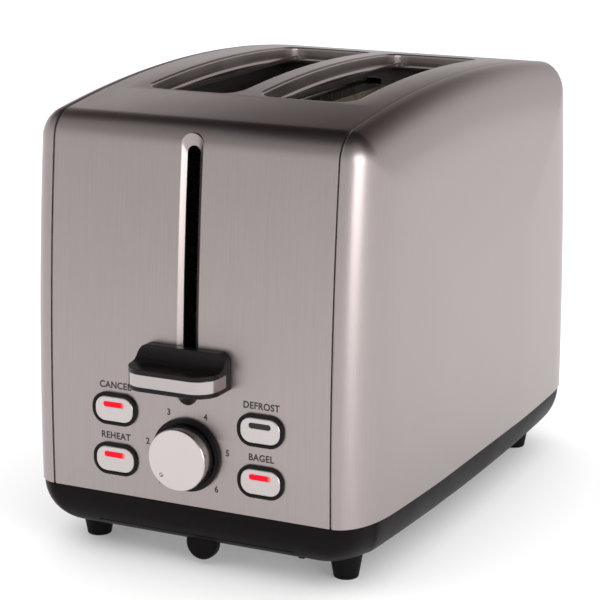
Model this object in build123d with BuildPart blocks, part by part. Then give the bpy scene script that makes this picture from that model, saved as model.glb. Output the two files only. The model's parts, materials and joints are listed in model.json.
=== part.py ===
from build123d import *

import os
from math import asin, atan2, cos, hypot, radians, sin, sqrt

# Two-slice pop-up toaster with a brushed steel shell on a plastic base.
# Millimetres. +Z is up, +Y runs from the front to the rear, +X is to the right of someone facing it.
# The origin lies on the ground, under the middle of the toaster with its lever.
# The lever is modelled pushed down, as it is while the toast browns.

os.makedirs("parts", exist_ok=True)

# --- Driving dimensions -----------------------------------------------------

# Shell
end_bay = 42.0  # from a chassis plate to the front or rear face
body_height = 190.0  # ground to the crest of the top
shell_low = 29.0  # lower edge of the steel above the ground
face_bow_radius = 1150.0  # gentle bow of the front and rear faces, seen from the side
face_bow_level = 45.0  # height where the front face is upright
top_arch_radius = 700.0
corner_radius = 12.5  # between the top and the front or rear face
sheet = 0.8  # shell sheet thickness
seam = 0.5  # gap between the band and a side panel

# Roll of a side panel, from the seam outwards
roll_width = 12.6
roll_reach = 32.0
roll_power = 2.9
roll_crown = 0.043
roll_sections = 5
roll_spread = 1.6  # inset of the second section; the others follow as squares
crown_inset = 78.0  # where the crown ends and the flat middle starts
lip_width = 6.0  # flange of a side panel that lies under the band
lip_thickness = 0.8

# Bread slots
slot_bar = 9.35  # top between the two slots
slot_border = 15.8  # from a slot to the seam
slot_width = 42.2
slot_length = 136.0
slot_corner = 8.0
slot_lip_depth = 4.0

# Lever and its slot in the front face
lever_level = 79.6  # underside of the handle when it is down
lever_reach = 18.0  # from the front face to the handle's nose
handle_width = 39.0
handle_corner = 9.0
handle_height = 14.9
handle_shelf = 8.8  # from the underside to the shelf that the finger presses
handle_shelf_depth = 8.5
handle_plate = 3.6  # thickness of the upright part against the front face
plate_corner = 4.0  # upper corners of the upright part
scoop_share = 0.28  # where the middle of the scoop lies between the shelf and the upright part
trim_height = 5.0
trim_level = 1.8  # above the handle's underside
trim_thickness = 0.8
lever_slot_width = 9.2
lever_slot_low = 71.0
lever_slot_drop = 12.5  # upper end of the slot below the crest
lever_stop = 14.15  # left above the tongue when the lever is up
lever_slot_step = 1.75  # pressed step round the slot
lever_step_depth = 1.2
tongue_thickness = 3.0
tongue_height = 5.0
tongue_lift = 2.0  # above the handle's underside

# Knob
knob_level = 50.5
knob_diameter = 25.3
knob_depth = 9.2
knob_ring_diameter = 30.0
knob_ring_depth = 1.6
knob_shaft_diameter = 6.0
knob_hole_diameter = 11.0
knob_ring_wall = 1.9
knob_ring_plate = 0.6
knob_round = 0.6
knob_mark_radius = 9.6
knob_mark_size = 0.9
knob_mark_angle = 225.0  # anticlockwise from the right, seen from the front

# Push buttons
button_column = 32.8
button_levels = (64.8, 43.8)
button_width = 17.4
button_height = 10.4
button_corner = 4.6
button_proud = 0.3  # cap above its bezel
button_travel = 1.2
bezel_width = 20.3
bezel_height = 13.3
bezel_corner = 6.2
bezel_depth = 0.9
bezel_sleeve = 3.0  # behind the front face
sleeve_wall = 0.7
cap_round = 0.6
lens_depth = 1.5
lens_width = 9.7
lens_height = 2.3
lens_offset = 2.0  # above the middle of the cap

# Base, feet and crumb tray
foot_height = 11.0  # ground to the underside of the base
foot_top_diameter = 14.0
foot_tip_diameter = 10.0
foot_border = 5.2  # from the seam inwards to a foot's axis
foot_bay = 26.0  # from the front or rear face to a foot's axis
base_wall = 2.5
base_floor = 2.5
base_inset = 0.4  # base edge inside the steel above it
base_tuck = 12.0  # how far the underside draws in all round
base_rim_height = 7.0
base_rim_inset = 2.1  # from the outside of the steel
base_rim_wall = 2.0
foot_recess_diameter = 6.4
foot_recess_height = 4.5
foot_hole_diameter = 3.4
foot_round = 0.6
screw_diameter = 3.0
screw_head_diameter = 6.0
screw_head_height = 2.0
screw_reach = 11.0  # into the base
boss_diameter = 9.0
tray_half_width = 44.0
tray_recess_height = 4.2
tray_front_bay = 16.0  # from the front face to the tray's front strip
tray_rear_bay = 28.0
tray_lip_height = 2.6
tray_sheet = 0.6
tray_ledge_width = 3.0
tray_ledge_height = 1.0
crumb_half_width = 38.0
grip_width = 13.7
grip_low = 2.5
grip_front_bay = 9.5
grip_rear_bay = 15.0
grip_round = 1.5
cord_hole_x = -40.0
cord_hole_level = 20.5
cord_hole_diameter = 10.0
cord_bush_bore = 7.0
cord_bush_flange = 13.0
cord_bush_flange_depth = 1.5
cord_bush_inside = 14.0  # inner end of the bush, from the rear face
cord_bush_outside = 0.4

# Chassis inside the shell
chassis_end = 10.0  # from the end of a bread slot to a chassis plate
chassis_border = 9.1  # from the side of a bread slot to the reflector
chassis_drop = 8.4  # top of the chassis below the crest
plate = 0.8
reflector_low = 38.0
reflector_sheet = 0.5
slot_plate_edge = 1.0  # past the chassis all round
inner_slot_side = 4.0  # inner slot inside the outer one at each side
inner_slot_end = 2.0
inner_slot_corner = 5.0
inner_lip_height = 1.0
card_low = 50.0
card_drop = 9.6  # top of a heater card or guard below the top of the chassis
card_thickness = 1.0
card_border = 4.1  # from the side of a bread slot to an outer card
winding_pitch = 12.0
winding_end = 10.0  # from a chassis plate to the winding
winding_thickness = 0.3
winding_height = 1.6

# Carriage
rod_diameter = 5.0
rod_bay = 5.0  # rod axis in front of the front chassis plate
carriage_bay = 10.0
carriage_sheet = 1.2
carriage_half_width = 14.0
carriage_height = 56.0
wing_half_width = 29.0
wing_height = 12.0
tab_half_width = 5.5
tab_bay = 1.4  # from the front chassis plate to the carriage's folded tabs
side_tab_x = 15.0  # tabs that carry the spring and the armature
tongue_in_handle = 9.0
rack_level = 44.0
rack_height = 6.0
rack_sheet = 1.2
rack_past = 3.0  # past the rear chassis plate
rung_half_width = 9.0
rung_height = 3.0
rung_count = 9
rung_end = 4.0  # from the end of a bread slot to the last rung
spring_diameter = 6.0
spring_wire = 0.9
spring_turns = 24
spring_bay = 6.0

# Electromagnet that holds the carriage down
magnet_bay = 6.4
magnet_gap = 0.3
armature_size = (10.0, 6.4, 1.6)
magnet_foot = (14.0, 9.0, 2.0)
core_diameter = 5.0
coil_diameter = 10.4
coil_height = 17.0
coil_lift = 1.8

# Control board behind the front face
board_depth = 13.6
board_sheet = 1.6
board_half_width = 46.0
board_low = 36.0
board_high = 74.0
post_x = 41.0
post_size = 6.0
post_high = 72.0
pot_size = (16.0, 18.0, 8.0)
pot_bush_diameter = 8.5
pot_bush_reach = 5.3
pot_bore_depth = 5.0
knob_bore_depth = 6.0
switch_size = (6.2, 6.2, 4.0)
button_stem_diameter = 4.0
button_flange = 1.0
lamp_diameter = 3.0
lamp_height = 6.0
lamp_shift = 5.0  # sideways from the middle of the button
relay_size = (15.0, 12.0, 9.0)
relay_place = (-29.0, 62.0)

# Bread guards
guard_gap = 12.5  # slot centre to guard while the lever is down
guard_travel = 6.0
guard_low = 58.0
guard_past = 1.6  # rail past the chassis plate
guard_rail_diameter = 2.0
guard_wire_diameter = 1.6
guard_wires = 12

# Clearances
running = 0.05  # radial, shaft in its bore
sliding = 0.3  # pieces that slide past each other
button_gap = 0.25
fit_gap = 0.1  # pieces that are fixed together
shell_gap = 0.3  # between the steel and the base
slot_play = 0.6  # each side of a blade or rail in the slot that guides it

# --- Derived places ---------------------------------------------------------

chassis_half_length = slot_length / 2 + chassis_end
body_length = 2 * (chassis_half_length + end_bay)
body_mid = lever_reach / 2  # the lever's nose and the rear face are equally far from the origin
front = body_mid - body_length / 2
slot_centre = (slot_bar + slot_width) / 2
slot_outer = slot_bar / 2 + slot_width  # outer side of a bread slot
band_half_width = slot_outer + slot_border  # middle plane to the seam with a side panel
seam_face = band_half_width + seam / 2  # where a side panel starts
chassis_half_width = slot_outer + chassis_border
chassis_top = body_height - chassis_drop
card_high = chassis_top - card_drop
lever_slot_high = body_height - lever_slot_drop
tongue_top = lever_level + tongue_lift + tongue_height
lever_travel = lever_slot_high - lever_slot_step - lever_stop - tongue_top
base_top = shell_low - shell_gap
roll_insets = [roll_spread * step**2 for step in range(roll_sections)]
sides = {"left": -1, "right": 1}
ends = {"front": -1, "rear": 1}


def side_plane(x):
    """The upright plane at x, seen from the right, with its origin below the middle of the body."""
    return Plane(origin=(x, body_mid, 0), x_dir=(0, 1, 0), z_dir=(1, 0, 0))


def front_plane(depth, level=0.0, x=0.0):
    """The upright plane a depth behind the front face, facing the person who uses the toaster."""
    return Plane(origin=(x, front + depth, level), x_dir=(1, 0, 0), z_dir=(0, -1, 0))


def save(builder, name):
    """Labels a finished piece and writes it."""
    builder.part.label = name
    export_step(builder.part, f"parts/{name}.step")


def elevation(inset, low):
    """Points and arcs of the shell seen from the side, moved inwards by inset, down to the level low.

    The outline is six pieces: bowed front, corner, arched top, corner, bowed rear and a straight
    lower edge. The corner circle touches the face circle and the top circle from inside.
    """
    face_radius = face_bow_radius - inset
    top_radius = top_arch_radius - inset
    corner = max(corner_radius - inset, corner_radius / 3)
    face_centre = (face_bow_radius - body_length / 2, face_bow_level)
    top_centre = (0.0, body_height - top_arch_radius)
    reach_face = face_radius - corner
    reach_top = top_radius - corner
    span = hypot(face_centre[0] - top_centre[0], face_centre[1] - top_centre[1])
    along = (reach_top**2 - reach_face**2 + span**2) / (2 * span)
    across = sqrt(reach_top**2 - along**2)
    ux = (face_centre[0] - top_centre[0]) / span
    uz = (face_centre[1] - top_centre[1]) / span
    centre = (top_centre[0] + along * ux - across * uz, top_centre[1] + along * uz + across * ux)

    def on_circle(middle, towards, radius):
        turn = atan2(towards[1] - middle[1], towards[0] - middle[0])
        return (middle[0] + radius * cos(turn), middle[1] + radius * sin(turn))

    foot = face_centre[0] - sqrt(face_radius**2 - (low - face_bow_level) ** 2)
    start = (foot, low)
    face_end = on_circle(face_centre, centre, face_radius)
    top_start = on_circle(top_centre, centre, top_radius)
    face_middle = on_circle(
        face_centre, ((foot + face_end[0]) / 2, (low + face_end[1]) / 2), face_radius
    )
    corner_middle = on_circle(
        centre, ((face_end[0] + top_start[0]) / 2, (face_end[1] + top_start[1]) / 2), corner
    )

    def opposite(point):
        return (-point[0], point[1])

    with BuildLine() as line:
        ThreePointArc(start, face_middle, face_end)
        ThreePointArc(face_end, corner_middle, top_start)
        ThreePointArc(top_start, (0.0, top_centre[1] + top_radius), opposite(top_start))
        ThreePointArc(opposite(top_start), opposite(corner_middle), opposite(face_end))
        ThreePointArc(opposite(face_end), opposite(face_middle), opposite(start))
        Line(opposite(start), start)
    return line.line


def side_section(x, inset, low):
    """The shell's side elevation as a filled sketch on the upright plane at x."""
    with BuildSketch(side_plane(x)) as section:
        add(elevation(inset, low))
        make_face()
    return section.sketch


def shell_block(inset, low, half_width):
    """A solid of the side elevation, as wide as twice half_width."""
    with BuildPart() as shell:
        add(side_section(-half_width, inset, low))
        extrude(amount=2 * half_width, dir=(1, 0, 0))
    return shell.part


def face_depth(level):
    """How far the bowed front face lies behind its furthest point, at a level."""
    return face_bow_radius - sqrt(face_bow_radius**2 - (level - face_bow_level) ** 2)


def roll(inset, width):
    """How far a side panel stands out from the seam, at an inset from the shell's outline."""
    share = max(1 - inset / roll_reach, 0.0)
    return width * sqrt(1 - share**roll_power) + roll_crown * min(inset, crown_inset)


def rounded_bar(half_width, low, high, mode=Mode.ADD):
    """Upright slot shape with round ends, from low to high."""
    with Locations((0, (low + high) / 2)):
        SlotOverall(high - low, 2 * half_width, rotation=90, mode=mode)


def block(x, y, z, mode=Mode.ADD):
    """A box between pairs of limits, with y counted from the middle of the body."""
    with Locations(((x[0] + x[1]) / 2, body_mid + (y[0] + y[1]) / 2, (z[0] + z[1]) / 2)):
        Box(x[1] - x[0], y[1] - y[0], z[1] - z[0], mode=mode)


def upright(x, y, z, radius, mode=Mode.ADD):
    """An upright cylinder at x and y between two levels, with y counted from the middle of the body."""
    with Locations((x, body_mid + y, (z[0] + z[1]) / 2)):
        Cylinder(radius, z[1] - z[0], mode=mode)


def along(x, z, y, radius, mode=Mode.ADD):
    """A cylinder along Y at x and z between two rows, counted from the middle of the body."""
    with Locations((x, body_mid + (y[0] + y[1]) / 2, z)):
        Cylinder(radius, y[1] - y[0], rotation=(90, 0, 0), mode=mode)


def plan_section(level, inset):
    """The toaster seen from above as a filled sketch at a level, moved inwards by inset."""
    corner = [
        (seam_face + roll(step, roll_width) - inset, body_length / 2 - step - inset)
        for step in roll_insets
    ]
    widest = (seam_face + roll(body_length / 2, roll_width) - inset, 0.0)
    bulge = 2 * (widest[0] - corner[-1][0]) / corner[-1][1]
    with BuildSketch(Plane.XY.offset(level)) as section:
        with BuildLine():
            for across in (-1, 1):
                for up in (-1, 1):
                    points = [(across * x, up * y) for x, y in corner]
                    Spline(*points, tangents=((across, 0), (across * bulge, -up)))
                last = corner[-1]
                ThreePointArc(
                    (across * last[0], -last[1]), (across * widest[0], 0), (across * last[0], last[1])
                )
            for up in (-1, 1):
                Line((-corner[0][0], up * corner[0][1]), (corner[0][0], up * corner[0][1]))
        make_face()
    return Pos(0, body_mid, 0) * section.sketch


# --- Shell ------------------------------------------------------------------

band_edge = band_half_width - seam / 2
lever_gap_half = lever_slot_width / 2 - lever_slot_step
sleeve_width = button_width + 2 * button_gap + 2 * sleeve_wall
sleeve_height = button_height + 2 * button_gap + 2 * sleeve_wall
sleeve_corner = button_corner + button_gap + sleeve_wall

slot_places = [(-slot_centre, body_mid), (slot_centre, body_mid)]
button_places = {
    "cancel": (-button_column, button_levels[0]),
    "defrost": (button_column, button_levels[0]),
    "reheat": (-button_column, button_levels[1]),
    "bagel": (button_column, button_levels[1]),
}

# Neck under each bread slot: the slot's own outline, following the arch of the top.
with BuildPart() as slot_necks:
    with BuildSketch(Plane.XY.offset(body_height / 2)):
        with Locations(*slot_places):
            RectangleRounded(slot_width + 2 * sheet, slot_length + 2 * sheet, slot_corner + sheet)
            RectangleRounded(slot_width, slot_length, slot_corner, mode=Mode.SUBTRACT)
    extrude(amount=body_height / 2)
    add(shell_block(0.0, shell_low, band_edge), mode=Mode.INTERSECT)
    add(shell_block(slot_lip_depth, 0.0, band_half_width), mode=Mode.SUBTRACT)

# Hollow in front of the pressed step round the lever slot.
with BuildPart() as lever_recess:
    with BuildSketch(front_plane(0)):
        rounded_bar(lever_slot_width / 2, lever_slot_low, lever_slot_high)
    extrude(amount=-2 * corner_radius)
    add(shell_block(lever_step_depth, 0.0, band_half_width), mode=Mode.SUBTRACT)

# Pressed step round the lever slot: sheet that lies deeper, with the narrower slot in it.
with BuildPart() as lever_step:
    with BuildSketch(front_plane(0)):
        rounded_bar(lever_slot_width / 2 + sheet, lever_slot_low - sheet, lever_slot_high + sheet)
        rounded_bar(
            lever_gap_half,
            lever_slot_low + lever_slot_step,
            lever_slot_high - lever_slot_step,
            mode=Mode.SUBTRACT,
        )
    extrude(amount=-2 * corner_radius)
    add(shell_block(sheet / 2, 0.0, band_half_width), mode=Mode.INTERSECT)
    add(shell_block(lever_step_depth + sheet, 0.0, band_half_width), mode=Mode.SUBTRACT)
    add(lever_recess.part, mode=Mode.SUBTRACT)

with BuildPart() as centre_band:
    add(shell_block(0.0, shell_low, band_edge))
    add(shell_block(sheet, 0.0, band_half_width), mode=Mode.SUBTRACT)
    with BuildSketch(Plane.XY.offset(body_height)):
        with Locations(*slot_places):
            RectangleRounded(slot_width, slot_length, slot_corner)
    extrude(amount=-body_height / 2, mode=Mode.SUBTRACT)
    add(slot_necks.part)
    with BuildSketch(front_plane(0)):
        rounded_bar(lever_slot_width / 2, lever_slot_low, lever_slot_high)
        with Locations((0, knob_level)):
            Circle(knob_hole_diameter / 2)
        with Locations(*button_places.values()):
            RectangleRounded(
                sleeve_width + 2 * fit_gap, sleeve_height + 2 * fit_gap, sleeve_corner + fit_gap
            )
    extrude(amount=-2 * corner_radius, mode=Mode.SUBTRACT)
    add(lever_step.part)
save(centre_band, "centre_band")


def panel_form(thin, low):
    """The crowned form of a side panel, thinner by thin all round, down to the level low."""

    def section(inset):
        return side_section(seam_face + roll(inset, roll_width - thin), inset + thin, low)

    with BuildPart() as form:
        for inset in roll_insets:
            add(section(inset))
        loft()
        for inset in (roll_insets[-1], crown_inset):
            add(section(inset))
        loft(ruled=True)
    return form.part


# Flange of the panel that lies under the band's edge.
lip_inset = sheet + fit_gap
with BuildPart() as panel_lip:
    add(side_section(band_half_width - lip_width, lip_inset, shell_low))
    extrude(amount=lip_width + seam / 2 + 2 * lip_thickness, dir=(1, 0, 0))
    add(shell_block(lip_inset + lip_thickness, 0.0, body_length / 2), mode=Mode.SUBTRACT)

with BuildPart() as side_panel_right:
    add(panel_form(0.0, shell_low))
    add(panel_form(sheet, 0.0), mode=Mode.SUBTRACT)
    add(panel_lip.part)
save(side_panel_right, "side_panel_right")

with BuildPart() as side_panel_left:
    mirror(side_panel_right.part, about=Plane.YZ)
save(side_panel_left, "side_panel_left")

# --- Base, feet and crumb tray ----------------------------------------------

base_turns = [radians(turn) for turn in (0, 15, 30, 45, 60, 75, 90)]
floor_top = foot_height + base_floor
recess_top = foot_height + tray_recess_height
roof_top = recess_top + base_floor
recess_half_width = tray_half_width + sliding
tray_level = foot_height + tray_ledge_height + sliding
tray_front = body_length / 2 - tray_front_bay
tray_rear = body_length / 2 - tray_rear_bay
grip_front = body_length / 2 - grip_front_bay
grip_rear = body_length / 2 - grip_rear_bay
foot_column = band_half_width - foot_border
foot_row = body_length / 2 - foot_bay
post_row = board_depth + board_sheet - body_length / 2
cord_run = (body_length / 2 - cord_bush_inside, body_length / 2 + fit_gap)
foot_places = {
    f"{end}_{side}": (sides[side] * foot_column, ends[end] * foot_row)
    for end in ends
    for side in sides
}

with BuildPart() as base_block:
    for turn in base_turns:
        level = base_top - (base_top - foot_height) * sin(turn)
        add(plan_section(level, base_inset + base_tuck * (1 - cos(turn))))
    loft()

floor_turn = asin((base_top - floor_top) / (base_top - foot_height))
with BuildPart() as base_hollow:
    for step in range(len(base_turns)):
        turn = floor_turn * step / (len(base_turns) - 1)
        level = base_top - (base_top - foot_height) * sin(turn)
        add(plan_section(level, base_inset + base_wall + base_tuck * (1 - cos(turn))))
    loft()

with BuildPart() as base_rim:
    add(plan_section(base_top - base_wall, base_rim_inset))
    extrude(amount=base_rim_height + base_wall)
    add(plan_section(base_top - base_wall, base_rim_inset + base_rim_wall))
    extrude(amount=base_rim_height + base_wall, mode=Mode.SUBTRACT)

with BuildPart() as base_tray:
    add(base_block.part)
    add(base_hollow.part, mode=Mode.SUBTRACT)
    add(base_rim.part)
    block(
        (-recess_half_width - base_wall, recess_half_width + base_wall),
        (-grip_front, tray_rear + sliding + base_wall),
        (foot_height, roof_top),
    )
    for x, y in foot_places.values():
        upright(x, y, (foot_height, foot_height + screw_reach + base_floor), boss_diameter / 2)
        upright(x, y, (foot_height, foot_height + screw_reach), screw_diameter / 2, Mode.SUBTRACT)
    for side in (-1, 1):
        block(
            (side * post_x - post_size / 2, side * post_x + post_size / 2),
            (post_row, post_row + post_size),
            (recess_top, post_high),
        )
    block(
        (-recess_half_width, recess_half_width),
        (-body_length / 2, tray_rear + sliding),
        (0.0, recess_top),
        Mode.SUBTRACT,
    )
    block(
        (-crumb_half_width, crumb_half_width),
        (-slot_length / 2, slot_length / 2),
        (recess_top, roof_top),
        Mode.SUBTRACT,
    )
    for side in (-1, 1):
        edges = sorted((side * recess_half_width, side * (recess_half_width - tray_ledge_width)))
        block(edges, (-tray_front, tray_rear), (foot_height, foot_height + tray_ledge_height))
    along(cord_hole_x, cord_hole_level, cord_run, cord_hole_diameter / 2, Mode.SUBTRACT)
save(base_tray, "base_tray")

for place, (x, y) in foot_places.items():
    with BuildPart() as foot:
        with Locations((x, body_mid + y, foot_height / 2)):
            Cone(foot_tip_diameter / 2, foot_top_diameter / 2, foot_height)
        fillet(foot.edges().sort_by(Axis.Z)[0], foot_round)
        upright(x, y, (0.0, foot_recess_height), foot_recess_diameter / 2, Mode.SUBTRACT)
        upright(x, y, (0.0, foot_height), foot_hole_diameter / 2, Mode.SUBTRACT)
    save(foot, f"foot_{place}")

head_low = foot_recess_height - screw_head_height
with BuildPart() as base_screws:
    for x, y in foot_places.values():
        upright(x, y, (head_low, foot_recess_height), screw_head_diameter / 2)
        upright(x, y, (foot_recess_height, foot_height + screw_reach), screw_diameter / 2)
save(base_screws, "base_screws")

bush_flange_row = body_length / 2 - cord_bush_outside
with BuildPart() as cord_bush:
    along(
        cord_hole_x,
        cord_hole_level,
        (cord_run[0], bush_flange_row),
        cord_hole_diameter / 2 - fit_gap,
    )
    along(
        cord_hole_x,
        cord_hole_level,
        (bush_flange_row - cord_bush_flange_depth, bush_flange_row),
        cord_bush_flange / 2,
    )
    along(
        cord_hole_x,
        cord_hole_level,
        (cord_run[0], bush_flange_row),
        cord_bush_bore / 2,
        Mode.SUBTRACT,
    )
    add(base_tray.part, mode=Mode.SUBTRACT)
save(cord_bush, "cord_bush")

# The tray's front strip closes the notch in the base and takes the base's own rounded shape.
with BuildPart() as tray_front_strip:
    add(base_block.part)
    block(
        (-tray_half_width, tray_half_width),
        (-body_length / 2, -tray_front),
        (foot_height, recess_top - sliding),
        Mode.INTERSECT,
    )

with BuildPart() as tray_grip:
    with BuildSketch(front_plane(body_length / 2 - grip_front)):
        rounded_bar(grip_width / 2, grip_low, grip_low + 2 * grip_width)
    extrude(amount=grip_front - grip_rear, dir=(0, 1, 0))
    block(
        (-tray_half_width, tray_half_width),
        (-body_length / 2, body_length / 2),
        (recess_top - sliding, body_height),
        Mode.SUBTRACT,
    )
    fillet(tray_grip.edges().filter_by(GeomType.CIRCLE), grip_round)
    add(tray_front_strip.part)
save(tray_grip, "tray_grip")

tray_lip_top = tray_level + tray_lip_height
with BuildPart() as crumb_tray:
    block(
        (-tray_half_width, tray_half_width),
        (-tray_front, tray_rear),
        (tray_level, tray_lip_top),
    )
    block(
        (tray_sheet - tray_half_width, tray_half_width - tray_sheet),
        (tray_sheet - tray_front, tray_rear - tray_sheet),
        (tray_level + tray_sheet, tray_lip_top),
        Mode.SUBTRACT,
    )
save(crumb_tray, "crumb_tray")

# --- Chassis, heaters and bread guards --------------------------------------

guard_rest = {
    "left_outer": (-slot_centre - guard_gap, -1),
    "left_inner": (-slot_centre + guard_gap, 1),
    "right_inner": (slot_centre - guard_gap, -1),
    "right_outer": (slot_centre + guard_gap, 1),
}
guard_rail = guard_rail_diameter / 2
rack_top = rack_level + rack_height

for end, sign in ends.items():
    rows = sorted((sign * chassis_half_length, sign * (chassis_half_length + plate)))
    with BuildPart() as chassis_plate:
        block((-chassis_half_width, chassis_half_width), rows, (roof_top, chassis_top))
        for side in (-1, 1):
            block(
                (
                    side * slot_centre - rack_sheet / 2 - slot_play,
                    side * slot_centre + rack_sheet / 2 + slot_play,
                ),
                rows,
                (rack_level - slot_play, rack_top + lever_travel + slot_play),
                Mode.SUBTRACT,
            )
        for x, away in guard_rest.values():
            spare = guard_rail + sliding
            reach = sorted((x - away * spare, x + away * (guard_travel + spare)))
            for level in (guard_low, card_high):
                block(
                    reach,
                    rows,
                    (level - guard_rail - sliding, level + guard_rail + sliding),
                    Mode.SUBTRACT,
                )
    save(chassis_plate, f"chassis_{end}")

for side, sign in sides.items():
    with BuildPart() as reflector:
        block(
            sorted((sign * chassis_half_width, sign * (chassis_half_width - reflector_sheet))),
            (-chassis_half_length, chassis_half_length),
            (reflector_low, chassis_top),
        )
    save(reflector, f"reflector_{side}")

inner_slot_width = slot_width - 2 * inner_slot_side
inner_slot_length = slot_length - 2 * inner_slot_end
with BuildPart() as slot_plate:
    with BuildSketch(Plane.XY.offset(chassis_top)):
        with Locations((0, body_mid)):
            Rectangle(
                2 * (chassis_half_width + slot_plate_edge),
                2 * (chassis_half_length + plate + slot_plate_edge),
            )
    extrude(amount=plate)
    with BuildSketch(Plane.XY.offset(chassis_top)):
        with Locations(*slot_places):
            RectangleRounded(
                inner_slot_width + 2 * plate, inner_slot_length + 2 * plate, inner_slot_corner + plate
            )
    extrude(amount=plate + inner_lip_height)
    with BuildSketch(Plane.XY.offset(chassis_top)):
        with Locations(*slot_places):
            RectangleRounded(inner_slot_width, inner_slot_length, inner_slot_corner)
    extrude(amount=plate + inner_lip_height, mode=Mode.SUBTRACT)
save(slot_plate, "slot_plate")

winding_half_length = chassis_half_length - winding_end
winding_low = card_low + winding_pitch / 2
winding_rows = int((card_high - winding_low - winding_pitch / 2) // winding_pitch) + 1


def winding_face(low_x, high_x):
    """A ribbon that runs back and forth over one face of a heater card."""
    for row in range(winding_rows):
        level = winding_low + row * winding_pitch
        block(
            (low_x, high_x),
            (-winding_half_length, winding_half_length),
            (level, level + winding_height),
        )
        if row < winding_rows - 1:
            turn_row = winding_half_length if row % 2 else -winding_half_length
            block(
                (low_x, high_x),
                sorted((turn_row, turn_row * (1 - winding_height / winding_half_length))),
                (level, level + winding_pitch),
            )


card_places = {"left": -slot_outer - card_border, "centre": 0.0, "right": slot_outer + card_border}
for name, x in card_places.items():
    with BuildPart() as heater_card:
        block(
            (x - card_thickness / 2, x + card_thickness / 2),
            (-chassis_half_length, chassis_half_length),
            (card_low, card_high),
        )
    save(heater_card, f"heater_card_{name}")
    with BuildPart() as heater_winding:
        winding_face(x + card_thickness / 2, x + card_thickness / 2 + winding_thickness)
        winding_face(x - card_thickness / 2 - winding_thickness, x - card_thickness / 2)
    save(heater_winding, f"heater_winding_{name}")

guard_end = chassis_half_length + plate + guard_past
for name, (x, away) in guard_rest.items():
    with BuildPart() as bread_guard:
        for level in (guard_low, card_high):
            along(x, level, (-guard_end, guard_end), guard_rail)
        for wire in range(guard_wires):
            row = slot_length * ((wire + 0.5) / guard_wires - 0.5)
            upright(x, row, (guard_low, card_high), guard_wire_diameter / 2)
    save(bread_guard, f"bread_guard_{name}")

# --- Carriage and electromagnet ---------------------------------------------

rod_row = -chassis_half_length - plate - rod_bay
carriage_row = -chassis_half_length - plate - carriage_bay
tab_row = -chassis_half_length - plate - tab_bay
spring_row = -chassis_half_length - plate - spring_bay
magnet_row = -chassis_half_length - plate - magnet_bay
carriage_rear = carriage_row + carriage_sheet / 2
carriage_top = rack_level + carriage_height
spring_tab_top = rack_level + wing_height
tongue_low = lever_level + tongue_lift
tongue_front = -body_length / 2 - tongue_in_handle

with BuildPart() as guide_rod:
    upright(0.0, rod_row, (roof_top, chassis_top), rod_diameter / 2)
save(guide_rod, "guide_rod")

with BuildPart() as carriage_plate:
    rows = (carriage_row - carriage_sheet / 2, carriage_rear)
    block((-carriage_half_width, carriage_half_width), rows, (rack_level, carriage_top))
    block((-wing_half_width, wing_half_width), rows, (rack_level, spring_tab_top))
    block(
        (-tongue_thickness / 2, tongue_thickness / 2),
        (tongue_front, carriage_row),
        (tongue_low, tongue_top),
    )
    for level in (rack_level, carriage_top - carriage_sheet):
        block(
            (-tab_half_width, tab_half_width),
            (carriage_row, tab_row),
            (level, level + carriage_sheet),
        )
    for x, level in ((-side_tab_x, spring_tab_top - carriage_sheet), (side_tab_x, rack_level)):
        block(
            (x - tab_half_width, x + tab_half_width),
            (carriage_row, tab_row),
            (level, level + carriage_sheet),
        )
    upright(0.0, rod_row, (0.0, body_height), rod_diameter / 2 + running, Mode.SUBTRACT)
save(carriage_plate, "carriage_plate")

coil_radius = (spring_diameter - spring_wire) / 2
spring_low = spring_tab_top + spring_wire / 2 + fit_gap
spring_height = chassis_top - spring_wire / 2 - fit_gap - spring_low
with BuildPart() as lift_spring:
    with BuildLine() as spring_line:
        Helix(
            pitch=spring_height / spring_turns,
            height=spring_height,
            radius=coil_radius,
            center=(-side_tab_x, body_mid + spring_row, spring_low),
        )
    with BuildSketch(Plane(origin=spring_line.line @ 0, z_dir=spring_line.line % 0)):
        Circle(spring_wire / 2)
    sweep(is_frenet=True)
save(lift_spring, "lift_spring")

armature_low = rack_level - armature_size[2]
with BuildPart() as armature:
    block(
        (side_tab_x - armature_size[0] / 2, side_tab_x + armature_size[0] / 2),
        (magnet_row - armature_size[1] / 2, magnet_row + armature_size[1] / 2),
        (armature_low, rack_level),
    )
save(armature, "armature")

coil_low = roof_top + magnet_foot[2] + coil_lift
with BuildPart() as magnet_core:
    block(
        (side_tab_x - magnet_foot[0] / 2, side_tab_x + magnet_foot[0] / 2),
        (magnet_row - magnet_foot[1] / 2, magnet_row + magnet_foot[1] / 2),
        (roof_top, roof_top + magnet_foot[2]),
    )
    upright(side_tab_x, magnet_row, (roof_top, armature_low - magnet_gap), core_diameter / 2)
save(magnet_core, "magnet_core")

with BuildPart() as magnet_coil:
    upright(side_tab_x, magnet_row, (coil_low, coil_low + coil_height), coil_diameter / 2)
    upright(
        side_tab_x,
        magnet_row,
        (coil_low, coil_low + coil_height),
        core_diameter / 2 + fit_gap,
        Mode.SUBTRACT,
    )
save(magnet_coil, "magnet_coil")

for side, sign in sides.items():
    x = sign * slot_centre
    with BuildPart() as bread_rack:
        block(
            (x - rack_sheet / 2, x + rack_sheet / 2),
            (carriage_rear, chassis_half_length + plate + rack_past),
            (rack_level, rack_top),
        )
        for rung in range(rung_count):
            row = (slot_length - 2 * rung_end) * (rung / (rung_count - 1) - 0.5)
            block(
                (x - rung_half_width, x + rung_half_width),
                (row - rack_sheet / 2, row + rack_sheet / 2),
                (rack_top - rung_height / 2, rack_top + rung_height / 2),
            )
    save(bread_rack, f"bread_rack_{side}")

# --- Lever handle -----------------------------------------------------------

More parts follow.
